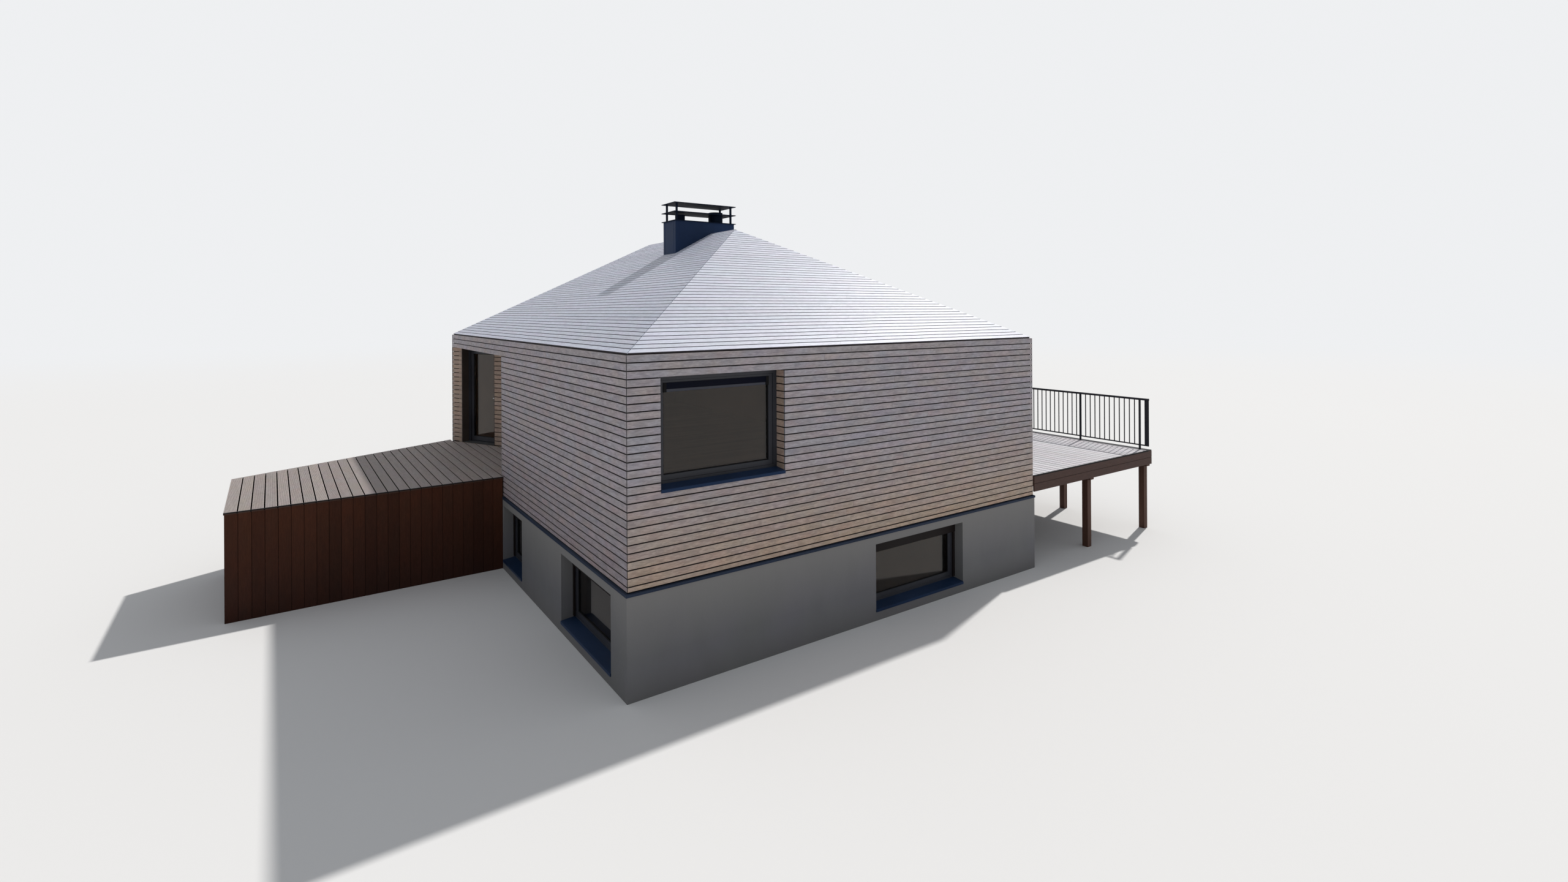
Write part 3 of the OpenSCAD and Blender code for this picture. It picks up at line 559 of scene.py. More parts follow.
def lay_roof(house, laid):
    """The boards of the four roof slopes."""
    points = corners(house.plan)
    front, right, back, left = whole_sides(house.plan)
    margin = 0.008
    near, far = CHIMNEY[0].y - margin, CHIMNEY[1].y + margin
    roof_side(house, laid, front)
    roof_side(house, laid, right, (near - points[1].y, far - points[1].y, points[1].x - CHIMNEY[1].x - margin))
    roof_side(house, laid, back)
    roof_side(house, laid, left, (points[3].y - far, points[3].y - near, CHIMNEY[0].x - margin - points[0].x))


def plank_run(box, boards):
    """How many planks lie side by side in a box along X, and their pitch."""
    span = box[1].x - box[0].x
    count = round(span / boards.plank_pitch)
    return count, span / count


def lay_planks(house, laid, x0, x1, count, start, end, grooves=0):
    """Planks along Y, with or without grooves, side by side between two places along X."""
    half_gap = house.boards.plank_gap / 2
    pitch = (x1 - x0) / count
    for i in range(count):
        low = x0 + i * pitch + (half_gap if i else 0)
        high = x0 + (i + 1) * pitch - (half_gap if i < count - 1 else 0)
        laid.board(
            grooved(low, high, grooves), lambda u, x, deep: Vector((x, u, house.plan.floor - deep)), start, end
        )


def lay_entry(house, laid):
    """The grooved planks of the entry deck and, at the same pitch, of the recess."""
    plan, boards = house.plan, house.boards
    low, high = ENTRY
    count, pitch = plank_run(ENTRY, boards)
    lay_planks(house, laid, low.x, high.x, count, low.y, lambda x, deep: far_edge(plan, x), boards.grooves)
    first, last = RECESS
    inner = int((last.x - first.x) / pitch)
    slope = 1 / math.tan(plan.skew)
    lay_planks(
        house, laid, first.x + boards.plank_gap, first.x + inner * pitch, inner, first.y,
        lambda x, deep: max(last.y - (x - first.x) * slope, first.y + 0.01), boards.grooves,
    )


def lay_terrace(house, laid):
    """The plain planks of the terrace."""
    low, high = TERRACE
    lay_planks(house, laid, low.x, high.x, plank_run(TERRACE, house.boards)[0], low.y, high.y)


def lay_edge_strip(house, laid):
    """A strip let into the plank ends, which closes the joints at the far edge of the entry deck, dark as painted
    shade of the ground under the deck.
    """
    front, back, top, setback = -0.004, -0.010, 0.006, 0.003
    laid.board(
        [(front, top), (front, PLANK_T), (back, PLANK_T), (back, top)],
        lambda x, away, deep: Vector((x, far_edge(house.plan, x) + away, house.plan.floor - deep)),
        ENTRY[0].x + setback, ENTRY[1].x - setback,
    )


def lay_edge_trims(house, laid):
    """Thin dark angles over the plank ends at the near edge of the entry deck and both ends of the terrace."""
    thickness, width, lap = 0.0015, 0.034, 0.0003
    low, high = FASCIA
    inner_end = RAILING[0].x
    for start, end, foot in (
        ((ENTRY[0].x, ENTRY[0].y), (ENTRY[1].x, ENTRY[0].y), 0.010),
        ((TERRACE[0].x, low.y), (inner_end, low.y), 0.018),
        ((inner_end, high.y), (TERRACE[0].x, high.y), 0.018),
    ):
        side = Side(start, end)
        laid.board(
            [
                (-thickness, -foot), (-thickness, thickness), (width, thickness),
                (width, lap), (-lap, lap), (-lap, -foot),
            ],
            lambda u, deep, lift: side.place(u, deep, house.plan.floor + lift), 0.0, side.length,
        )


def lay_skirt(house, laid):
    """Upright boards round the three free sides of the entry deck."""
    plan = house.plan
    low, high = SKIRT
    near_left, near_right = outline(SKIRT)[:2]
    setback, at_corner = 0.01 / math.cos(plan.skew), 0.029
    far_left, far_right = (Vector((x, far_edge(plan, x) - setback)) for x in (low.x, high.x))
    for start, end, free in (
        (near_left, near_right, 0.0), (far_left, near_left, at_corner),
        (far_right, far_left, at_corner * math.cos(plan.skew)),
    ):
        side = Side(start, end)
        run = side.length - free
        count = round(run / house.boards.plank_pitch)
        for i in range(count):
            profile = lapped(i * run / count, (i + 1) * run / count)
            laid.board(profile, side.upright, 0.0, plan.floor - PLANK_T - 0.001)


def lay_fascia(house, laid):
    """Two dark boards on each free side of the terrace."""
    points = outline(FASCIA)
    bottom, top = FASCIA[0].z, FASCIA[1].z
    half = (top - bottom) / 2
    thickness, half_gap, chamfer = 0.028, 0.002, 0.003
    free = thickness + 0.003
    for start, end, first, last in ((0, 1, 0.0, free), (1, 2, 0.0, 0.0), (2, 3, free, 0.0)):
        side = Side(points[start], points[end])
        for z0, z1 in ((bottom, bottom + half - half_gap), (bottom + half + half_gap, top)):
            laid.board(eased(z0, z1, thickness, chamfer), side.level, first, side.length - last)


def ring_bars(laid, side, x, z, width, depth):
    """Four slim bars round an opening, in the plane of a wall."""
    profile = slat(0.0, width, *depth)
    for place, (low, high), edges in ((side.level, x, z), (side.upright, z, x)):
        for edge, inner in zip(edges, (1, -1)):
            laid.board(
                profile, lambda run, across, deep: place(run, edge + inner * across, deep),
                lambda across, deep: low + across, lambda across, deep: high - across,
            )


def lay_sashes(house, laid):
    """The sash in the frame of each lower window, in front of its glass."""
    plan = house.plan
    z = (plan.lower_head - plan.lower_height + plan.frame, plan.lower_head - plan.frame)
    for side, start, end in lower_openings(plan):
        across = (start + plan.frame, end - plan.frame)
        ring_bars(laid, side, across, z, plan.sash, (plan.reveal - 0.008, plan.reveal + 0.0105))


def lay_lower_screens(house, laid):
    """The box of a rolled screen at the head of each lower window, and its guide rails at both cheeks, near black
    so that they also paint the shade and the soffit's reflection at the head and cheeks of the glass.
    """
    plan = house.plan
    head = plan.lower_head - TOUCH
    face, back = plan.reveal - 0.050, plan.reveal - 0.0165
    drop, rail, rail_setback, chamfer = 0.195, 0.045, 0.008, 0.006
    foot = head - drop
    sill = plan.lower_head - plan.lower_height + 0.045
    for side, start, end in lower_openings(plan):
        left, right = start + TOUCH, end - TOUCH
        profile = [(foot, face + chamfer), (foot + chamfer, face), (head, face), (head, back), (foot, back)]
        laid.board(profile, side.level, left, right)
        for edge, inner in ((left, 1), (right, -1)):
            laid.board(slat(edge, edge + inner * rail, face + rail_setback, back), side.upright, sill, foot)


def lay_seals(house, laid):
    """Dark seals where the glass of each window meets its frame."""
    plan = house.plan
    front, right, back = whole_sides(plan)[:3]
    width = 0.010
    border, reveal = plan.frame + plan.sash, plan.reveal
    upper_z = (plan.head - plan.window_height + border, plan.head - border)
    for side, start in ((front, plan.window_start), (back, plan.back_window)):
        across = (start + border, start + plan.window_width - border)
        ring_bars(laid, side, across, upper_z, width, (reveal + 0.021, reveal + 0.0338))
    lower_z = (plan.lower_head - plan.lower_height + border, plan.lower_head - border)
    for side, start, end in lower_openings(plan):
        ring_bars(laid, side, (start + border, end - border), lower_z, width, (reveal, reveal + 0.0108))
    half = (plan.terrace_window_width - plan.frame) / 2
    z = (plan.floor + plan.frame, plan.head - plan.frame)
    for start in (plan.terrace_window, plan.terrace_window + half):
        across = (start + plan.frame, start + half)
        ring_bars(laid, right, across, z, width, (reveal + 0.008, reveal + 0.0258))


def lay_door_seal(house, laid):
    """The dark seal round the glass of the door leaf."""
    plan = house.plan
    entrance = recessed_sides(plan)[3]
    low, high = DOOR_GLASS
    across = sorted(
        (Vector(point) - entrance.start).dot(entrance.along) for point in ((low.x, high.y), (high.x, low.y))
    )
    ring_bars(laid, entrance, across, (low.z, high.z), 0.010, (plan.reveal + 0.010, plan.reveal + 0.0198))


def lay_screen(part):
    """How to lay the rolled screen of the upper front window: its box, the bar under it, or both brackets."""
    def boards(house, laid):
        plan = house.plan
        front = whole_sides(plan)[0]
        border = plan.frame + plan.sash
        left, right = plan.window_start + border, plan.window_start + plan.window_width - border
        top = plan.head - border
        face, bracket = plan.reveal + 0.006, 0.045
        over, under = top + 0.036, top - TOUCH
        sash, glass = plan.reveal + 0.0075, plan.reveal + 0.0335
        behind = [(over, sash), (under, sash), (under, glass)]
        profile = {
            "box": [(top - 0.042, face - 0.004), (top - 0.036, face - 0.008), (over, face - 0.008), *behind,
                    (top - 0.042, glass)],
            "bar": [(top - 0.083, face + 0.008), (top - 0.079, face + 0.003), (top - 0.048, face + 0.003),
                    (top - 0.044, face + 0.008), (top - 0.044, face + 0.014), (top - 0.083, face + 0.014)],
            "brackets": [(top - 0.085, face - 0.007), (top - 0.082, face - 0.010), (over, face - 0.010), *behind,
                         (top - 0.085, glass)],
        }[part]
        inner = (left + bracket, right - bracket)
        for start, end in ((left, inner[0]), (inner[1], right)) if part == "brackets" else (inner,):
            laid.board(profile, front.level, start, end)
    return boards


def lay_seams(house, laid):
    """Folded upright seams on the chimney casing, beside its corners."""
    plan = house.plan
    from_corner, rise, into_roof = 0.085, math.tan(plan.pitch), 0.015
    fold = [(-0.006, 0.0), (-0.005, -0.0025), (0.001, -0.0025), (0.002, -0.0008), (0.006, 0.0)]
    for side in ring_of_sides(outline(CHIMNEY)):
        for u in (from_corner, side.length - from_corner):
            foot = side.place(u, 0.0, 0.0)
            run = min(foot.x - CORNER.x, CORNER.x + plan.front - foot.x)
            profile = [(u + across, deep) for across, deep in fold]
            laid.board(profile, side.upright, plan.eaves + run * rise - into_roof, CHIMNEY[1].z)


def lay_battens(house, laid):
    """Upright battens behind the board ends, at the mitred corners and at the two outer corners of the recess,
    near black as painted shade in the corner joints.
    """
    plan = house.plan
    sides, above = recessed_sides(plan), whole_sides(plan)
    front, width = 0.004, house.boards.thickness - 0.001
    for side, low in ((sides[2], plan.foot + 0.002), (sides[4], plan.floor + 0.009)):
        end = side.length
        laid.board(slat(end - width, end - 0.003, front, width), side.upright, low, plan.head - 0.002)
    for before, after, low in (
        (sides[5], sides[0], plan.foot), (sides[0], sides[1], plan.foot), (sides[1], sides[2], plan.foot),
        (above[2], above[3], plan.head),
    ):
        end, mitre = before.length, before.mitres[1]
        profile = [
            before.place(end - front * mitre, front, 0).xy, after.place(front * mitre + width, front, 0).xy,
            before.place(end - width * mitre, width, 0).xy, before.place(end - front * mitre - width, front, 0).xy,
        ]
        laid.board(profile, lambda z, x, y: Vector((x, y, z)), low + 0.002, plan.eaves - 0.03)


def lay_vent_strips(house, laid):
    """The dark strip in the open joint between the flashing and the lowest boards: a vent mesh, near black as
    painted shade under the boards.
    """
    plan = house.plan
    profile = slat(plan.foot + TOUCH, plan.foot + plan.vent - TOUCH, 0.004, 0.018)
    around = recessed_sides(plan)
    for side, first, last in (
        (around[0], *around[0].mitres), (around[1], *around[1].mitres), (around[2], around[2].mitres[0], 0.0),
        (around[5], 0.0, around[5].mitres[1]),
    ):
        laid.board(profile, side.level, sloped(0.001, first), sloped(side.length - 0.001, -last))


def lay_threshold(house, laid):
    """The folded metal plate on the floor of the doorway, from the deck to the foot of the door frame."""
    plan = house.plan
    lift, margin, inner = plan.floor + TOUCH, 0.013, plan.reveal - 0.022
    laid.board(
        [(0.001, lift), (0.001, lift + 0.003), (0.004, lift + 0.004), (inner, lift + 0.009), (inner, lift)],
        recessed_sides(plan)[3].place, plan.door_start + margin, plan.door_start + plan.door_width - margin,
    )


def screw_places(house):
    """Two screws in every plank over every joist of the entry deck and the terrace."""
    def lines(box):
        count, pitch = plank_run(box, house.boards)
        return [box[0].x + (i + part) * pitch for i in range(count) for part in (0.25, 0.75)]

    top, edge, joist_pitch = house.plan.floor, 0.035, 0.6
    half_joist, last_joist = 0.03, 10
    places = []
    first = ENTRY[0].y + edge
    for x in lines(ENTRY):
        span = far_edge(house.plan, x) - edge - first
        joists = math.ceil(span / joist_pitch)
        places += [Vector((x, first + span * j / joists, top)) for j in range(joists + 1)]
    first = JOISTS[0].y + half_joist
    span = JOISTS[1].y - JOISTS[0].y - 2 * half_joist
    for x in lines(TERRACE):
        if x < RAILING[0].x - 0.01:
            places += [Vector((x, first + span * j / last_joist, top)) for j in range(last_joist + 1)]
    return places


def deck_screws(name, material, places):
    """Flat eight sided screw heads, each with a small recess, at given places on the decks."""
    work = bmesh.new()
    radius, height, sides = 0.0045, 0.0008, 8
    rows = ((radius, -0.0015), (radius, height), (radius * 0.55, height), (radius * 0.45, -0.0004))
    for place in places:
        rings = []
        for size, lift in rows:
            turns = [2 * math.pi * i / sides for i in range(sides)]
            around = [Vector((size * math.cos(turn), size * math.sin(turn), lift)) for turn in turns]
            rings.append([work.verts.new(place + point) for point in around])
        for lower, upper in zip(rings, rings[1:]):
            for i in range(sides):
                j = (i + 1) % sides
                work.faces.new((lower[i], lower[j], upper[j], upper[i]))
        work.faces.new(rings[-1])
        work.faces.new(rings[0][::-1])
    mesh = bpy.data.meshes.new(name)
    work.to_mesh(mesh)
    work.free()
    mesh.materials.append(material)
    dress(name, mesh)


# Materials


class Finish:
    """A node material with short calls for its nodes and links."""

    def __init__(self, name):
        self.material = bpy.data.materials.new(name)
        self.material.use_nodes = True
        self.tree = self.material.node_tree
        self.shader = self.tree.nodes["Principled BSDF"]

    def feed(self, node, inputs):
        """Links sockets to a node's inputs, and sets numbers and colours on them."""
        for key, value in inputs.items():
            if isinstance(value, bpy.types.NodeSocket):
                self.tree.links.new(value, node.inputs[key])
            else:
                node.inputs[key].default_value = value

    def node(self, kind, inputs=None, **settings):
        made = self.tree.nodes.new(kind)
        for key, value in settings.items():
            setattr(made, key, value)
        self.feed(made, inputs or {})
        return made

    def coordinate(self, kind="Object"):
        return self.node("ShaderNodeTexCoord").outputs[kind]

    def part(self, vector, axis):
        return self.node("ShaderNodeSeparateXYZ", {"Vector": vector}).outputs[axis]

    def stretched(self, vector, scale):
        return self.node("ShaderNodeMapping", {"Vector": vector, "Scale": scale}).outputs["Vector"]

    def noise(self, vector, scale, detail=4.0, roughness=0.55, distortion=0.0, stretch=None):
        return self.node("ShaderNodeTexNoise", {
            "Vector": self.stretched(vector, stretch) if stretch else vector,
            "Scale": scale, "Detail": detail, "Roughness": roughness, "Distortion": distortion,
        }).outputs["Fac"]

    def math(self, operation, first, second, third=0.0, clamp=False):
        inputs = {0: first, 1: second, 2: third}
        return self.node("ShaderNodeMath", inputs, operation=operation, use_clamp=clamp).outputs[0]

    def spread(self, value, low, high, new_low=0.0, new_high=1.0):
        return self.node("ShaderNodeMapRange", {
            "Value": value, "From Min": low, "From Max": high, "To Min": new_low, "To Max": new_high
        }).outputs["Result"]

    def mix(self, factor, first, second, blend="MIX"):
        made = self.node("ShaderNodeMix", data_type="RGBA", blend_type=blend)
        first, second = (
            value if isinstance(value, bpy.types.NodeSocket) else (*value, 1.0) for value in (first, second)
        )
        self.feed(made, {0: factor, 6: first, 7: second})
        return made.outputs[2]

    def times(self, body, change):
        return self.mix(1.0, body, change, "MULTIPLY")

    def cover(self, body, *layers):
        """Lays each colour over the body as far as its mask says."""
        for mask, colour in layers:
            body = self.mix(mask, body, colour)
        return body

    def bump(self, height, strength, distance):
        inputs = {"Height": height, "Strength": strength, "Distance": distance}
        return self.node("ShaderNodeBump", inputs).outputs["Normal"]

    def done(self, inputs):
        self.feed(self.shader, inputs)
        return self.material


def shade(base, factor):
    return tuple(min(1.0, value * factor) for value in base)


def tint(base, red, green, blue):
    return tuple(min(1.0, value * factor) for value, factor in zip(base, (red, green, blue)))


def board_finish(
    name, base, contrast, variation, warm, bump, knots, roughness=0.78, ends=None, foot=None, gloss=0.3, mottle=0.3
):
    """Weathered boards: fibres along the grain, blotches, a few knots, sawn ends and a tone for each board, with
    painted shade in the joints and, where a foot is given, painted light and shade at the foot.
    """
    finish = Finish(name)
    grain = finish.node("ShaderNodeUVMap", uv_map="grain").outputs["UV"]
    tone = finish.node("ShaderNodeAttribute", attribute_name="tone", attribute_type="GEOMETRY")
    pick = finish.node("ShaderNodeSeparateColor", {"Color": tone.outputs["Color"]}).outputs
    mark = tone.outputs["Alpha"]
    fibres = finish.noise(grain, 3.0, 8.0, 0.62, 0.25, stretch=(2.2, 95.0, 1.0))
    streaks = finish.noise(grain, 2.6, 5.0, 0.6, 0.6, stretch=(0.55, 16.0, 1.0))
    blotches = finish.noise(grain, 1.4, 3.0, 0.5, stretch=(0.9, 5.0, 1.0))
    flecks = finish.noise(grain, 2.0, 5.0, 0.7, stretch=(6.0, 36.0, 1.0))
    stains = finish.noise(grain, 1.5, 4.0, 0.6, 0.5, stretch=(3.2, 10.0, 1.0))
    warm_patches = finish.noise(grain, 1.5, 3.0, stretch=(1.5, 2.2, 1.0))
    mauve_patches = finish.noise(grain, 1.2, 3.0, stretch=(1.9, 3.1, 1.0))
    cells = finish.node("ShaderNodeTexVoronoi", {
        "Vector": finish.stretched(grain, (1.0, 3.4, 1.0)), "Scale": 2.1, "Randomness": 1.0
    }).outputs["Distance"]
    body = finish.mix(
        finish.spread(streaks, 0.3, 0.7), shade(base, 1 - 0.16 * contrast), shade(base, 1 + 0.12 * contrast)
    )
    body = finish.cover(
        body,
        (finish.spread(blotches, 0.35, 0.7, 0.0, 0.6 * contrast), tint(shade(base, 0.93), *warm)),
        (finish.spread(fibres, 0.35, 0.62, 0.34 * contrast, 0.0), shade(base, 0.52)),
        (finish.spread(flecks, 0.5, 0.66, 0.0, mottle), shade(base, 1.3)),
        (finish.spread(flecks, 0.5, 0.36, 0.0, mottle), shade(base, 0.62)),
        (finish.spread(stains, 0.50, 0.64, 0.0, mottle), shade(base, 0.66)),
        (finish.spread(stains, 0.46, 0.34, 0.0, mottle * 0.7), shade(base, 1.22)),
        (finish.spread(cells, 0.02, 0.06, knots, 0.0), shade(tint(base, 1.1, 0.85, 0.7), 0.35)),
    )
    level = finish.spread(pick["Red"], 0.0, 1.0, 1 - variation, 1 + variation)
    level = finish.node("ShaderNodeCombineColor", {"Red": level, "Green": level, "Blue": level}).outputs["Color"]
    body = finish.times(body, level)
    mauve = (1.04, 0.97, 1.01)
    for cast, own, patches, low in (
        (warm, pick["Green"], warm_patches, -0.2), (mauve, pick["Blue"], mauve_patches, -0.3)
    ):
        amount = finish.math("MULTIPLY_ADD", own, 0.4, finish.spread(patches, 0.36, 0.64, low, 0.7), clamp=True)
        body = finish.mix(amount, body, finish.times(body, cast))
    # Painted light and shade at the foot: below a height, faces turned to the front take one change and the other
    # faces another. On the wall boards the front is lightened and yellowed as painted bounce light and the other
    # sides are darkened as painted shade; on the skirt both are darkened as painted shade
    if foot:
        above, below, front_painted_shading, side_painted_shading = foot
        to_front = finish.spread(finish.part(finish.coordinate("Normal"), "Y"), -0.3, -0.7)
        lower = finish.times(body, finish.mix(to_front, side_painted_shading, front_painted_shading))
        height = finish.part(finish.coordinate(), "Z")
        body = finish.mix(finish.spread(height, above, below), body, lower)
    # Painted shade: the sides and backs of the boards inside the joints turn near black, and the groove floors
    # darken part way, as dirt and painted shade
    body = finish.cover(
        body,
        (finish.spread(mark, FACE, BACK, 0.0, 0.95), tint(base, 0.085, 0.06, 0.055)),
        (finish.math("GREATER_THAN", mark, (BACK + SAWN) / 2), ends or shade(base, 0.8)),
    )
    relief = finish.math("ADD", fibres, finish.math("MULTIPLY", streaks, 0.6))
    return finish.done({
        "Base Color": body,
        "Roughness": finish.spread(fibres, 0.3, 0.7, roughness + 0.1, roughness - 0.06),
        "Specular IOR Level": gloss,
        "Normal": finish.bump(relief, bump, 0.0015),
    })


def metal_finish(name, base, roughness, metallic, gloss, dusty):
    """Coated metal with a slight cloudiness, fine texture and a little dust on its upper sides."""
    finish = Finish(name)
    place = finish.coordinate()
    cloud = finish.noise(place, 1.7)
    up = finish.spread(finish.part(finish.coordinate("Normal"), "Z"), 0.5, 1.0)
    dust = finish.math("MULTIPLY", up, finish.spread(cloud, 0.35, 0.75, dusty * 0.3, dusty))
    body = finish.mix(finish.spread(cloud, 0.3, 0.7), shade(base, 0.86), shade(base, 1.16))
    return finish.done({
        "Base Color": finish.mix(dust, body, (0.32, 0.30, 0.27)),
        "Roughness": finish.spread(cloud, 0.3, 0.7, roughness - 0.06, roughness + 0.08),
        "Metallic": metallic,
        "Specular IOR Level": gloss,
        "Normal": finish.bump(finish.noise(place, 420.0, 2.0), 0.12, 0.0004),
    })


# Each metal's colour, fixed or by the name of a colour of the house, its roughness, metallic, gloss and dust
METALS = {
    "anthracite_coating": ("frame", 0.38, 0.0, 0.3, 0.05),
    "doorway_coating": ((0.085, 0.068, 0.058), 0.5, 0.0, 0.3, 0.05),
    "dark_blue_sheet": ("sheet", 0.5, 0.0, 0.15, 0.03),
    "flashing_sheet": ("flashing", 0.5, 0.0, 0.12, 0.02),
    "chimney_coating": ("chimney", 0.5, 0.0, 0.1, 0.03),
    "chimney_cap_coating": ("chimney", 0.6, 0.0, 0.06, 0.02),
    "railing_coating": ("railing", 0.62, 0.0, 0.12, 0.0),
    "brushed_steel": ((0.58, 0.59, 0.60), 0.42, 1.0, 0.3, 0.05),
    "screw_steel": ((0.30, 0.29, 0.28), 0.4, 1.0, 0.3, 0.05),
    "threshold_plate": ((0.05, 0.052, 0.056), 0.45, 0.0, 0.3, 0.1),
    # Near-black vent strip: a vent mesh and painted shade under the boards
    "vent_strip_coating": ((0.006, 0.005, 0.005), 0.7, 0.0, 0.05, 0.0),
    "black_edge_trim": ((0.010, 0.009, 0.010), 0.65, 0.0, 0.1, 0.0),
    "black_rubber": ((0.006, 0.006, 0.007), 0.7, 0.0, 0.15, 0.0),
    "screen_box_coating": ((0.002, 0.003, 0.010), 0.6, 0.0, 0.08, 0.0),
    "screen_bar_coating": ((0.040, 0.043, 0.060), 0.42, 0.0, 0.3, 0.02),
    # Near-black lower screens: painted shade and reflection at the head and cheeks of the lower windows
    "lower_screen_coating": ((0.010, 0.007, 0.007), 0.6, 0.0, 0.15, 0.0),
}


def metal(house, name, factor=1.0):
    """One of the metals, made at its first use, lighter or darker by a factor."""
    base, *settings = METALS[name]
    if isinstance(base, str):
        base = getattr(house.colours, base)
    return bpy.data.materials.get(name) or metal_finish(name, shade(base, factor), *settings)


def masonry_finish(name, base):
    """Smooth render with soft clouds, faint runs below the flashing and a fine sandy texture."""
    finish = Finish(name)
    place = finish.coordinate()
    height = finish.part(place, "Z")
    cloud = finish.noise(place, 0.55, 5.0, 0.6)
    patch = finish.noise(place, 2.4, 5.0, 0.6, 0.4, stretch=(1.0, 1.0, 0.35))
    runs = finish.noise(place, 1.0, 4.0, stretch=(7.0, 7.0, 0.5))
    sand = finish.noise(place, 190.0, 3.0, 0.7)
    near_top = finish.math("MULTIPLY", finish.spread(height, 0.7, 1.3), finish.spread(runs, 0.45, 0.7, 0.0, 0.3))
    near_foot = finish.math(
        "MULTIPLY", finish.spread(height, 0.35, 0.0), finish.spread(cloud, 0.3, 0.7, 0.15, 0.5)
    )
    body = finish.mix(finish.spread(cloud, 0.35, 0.65), tint(base, 0.98, 0.99, 0.94), tint(base, 1.02, 0.99, 1.06))
    body = finish.cover(
        body,
        (finish.spread(patch, 0.35, 0.7, 0.0, 0.35), shade(base, 0.84)),
        (near_top, shade(base, 0.62)),
        # Lighter towards the top, and darker at the foot
        (finish.spread(height, 0.5, 1.3, 0.0, 0.9), tint(shade(base, 1.35), 1.03, 1.0, 0.93)),
        (near_foot, tint(shade(base, 0.85), 1.08, 1.0, 0.86)),
        (finish.spread(sand, 0.3, 0.7, 0.0, 0.12), shade(base, 0.6)),
    )
    relief = finish.math("ADD", sand, finish.math("MULTIPLY", patch, 1.5))
    return finish.done({
        "Base Color": body,
        "Roughness": finish.spread(patch, 0.3, 0.7, 0.84, 0.94),
        "Specular IOR Level": 0.25,
        "Normal": finish.bump(relief, 0.3, 0.0012),
    })


def glass_finish(name, tone):
    """Float glass, slightly uneven, with a faint film of salt and dust."""
    finish = Finish(name)
    place = finish.coordinate()
    film = finish.noise(place, 1.3, 5.0, 0.6)
    return finish.done({
        "Base Color": finish.mix(finish.spread(film, 0.3, 0.7), shade(tone, 0.9), tone),
        "Roughness": finish.spread(film, 0.4, 0.75, 0.01, 0.05),
        "Transmission Weight": 1.0,
        "IOR": 1.42,
        "Normal": finish.bump(finish.noise(place, 0.9, 2.0), 0.12, 0.004),
    })


def two_sided(finish, colours, roomward):
    """Dark membrane behind the boards, and painted plaster where a face is turned to the rooms."""
    place = finish.coordinate()
    cloud = finish.noise(place, 1.1, 5.0)
    spots = finish.spread(cloud, 0.3, 0.7)
    membrane = finish.mix(spots, shade(colours.membrane, 0.8), shade(colours.membrane, 1.25))
    plaster = finish.mix(spots, shade(colours.plaster, 0.95), shade(colours.plaster, 1.04))
    return finish.done({
        "Base Color": finish.mix(roomward, membrane, plaster),
        "Roughness": finish.spread(cloud, 0.3, 0.7, 0.78, 0.92),
        "Normal": finish.bump(finish.noise(place, 260.0, 2.0), 0.2, 0.0006),
    })


def wall_panel_finish(name, colours, side, depth):
    """A wall panel, with its room side further in than a depth from the face of the boards."""
    finish = Finish(name)
    away = finish.node("ShaderNodeVectorMath", {
        0: finish.coordinate(), 1: (*side.start, 0.0)
    }, operation="SUBTRACT").outputs["Vector"]
    inward = finish.node("ShaderNodeVectorMath", {
        0: away, 1: (*side.inward, 0.0)
    }, operation="DOT_PRODUCT").outputs["Value"]
    return two_sided(finish, colours, finish.math("GREATER_THAN", inward, depth))


def roof_panel_finish(name, colours):
    """A roof panel, with its room side below."""
    finish = Finish(name)
    up = finish.part(finish.coordinate("Normal"), "Z")
    return two_sided(finish, colours, finish.math("LESS_THAN", up, -0.2))


def floor_finish(name, base):
    """Oiled floor boards on the upper floor, laid in a broken bond."""
    finish = Finish(name)
    place = finish.coordinate()
    bond = finish.node("ShaderNodeTexBrick", {
        "Vector": place, "Color1": (*shade(base, 0.85), 1.0), "Color2": (*shade(base, 1.15), 1.0),
        "Mortar": (*shade(base, 0.25), 1.0), "Scale": 1.0, "Mortar Size": 0.0012, "Brick Width": 2.2,
        "Row Height": 0.14,
    }, offset=0.37)
    grain = finish.noise(place, 2.0, 6.0, 0.6, 0.3, stretch=(1.2, 42.0, 1.0))
    return finish.done({
        "Base Color": finish.mix(
            finish.spread(grain, 0.35, 0.65, 0.3, 0.0), bond.outputs["Color"], shade(base, 0.5)
        ),
        "Roughness": finish.spread(grain, 0.3, 0.7, 0.55, 0.42),
        "Normal": finish.bump(grain, 0.15, 0.001),
    })


def beam_finish(name, base, axis):
    """Dark stained structural timber, with its fibres along one axis."""
    finish = Finish(name)
    stretch = [26.0, 26.0, 26.0]
    stretch[axis] = 0.9
    place = finish.coordinate()
    fibres = finish.noise(place, 2.2, 7.0, 0.62, 0.3, stretch=tuple(stretch))
    cloud = finish.noise(place, 1.6)
    body = finish.mix(finish.spread(fibres, 0.32, 0.66), shade(base, 0.62), shade(base, 1.2))
    return finish.done({
        "Base Color": finish.mix(finish.spread(cloud, 0.4, 0.7, 0.0, 0.4), body, tint(base, 0.9, 1.05, 1.15)),
        "Roughness": finish.spread(fibres, 0.3, 0.7, 0.82, 0.66),
        "Normal": finish.bump(fibres, 0.3, 0.0015),
    })


def give(material, *nodes):
    """Puts one material on CAD nodes as they stand."""
    for name in nodes:
        for entry in frame["nodes"][name].material_slots:
            entry.link = "OBJECT"
            entry.material = material


# Operators


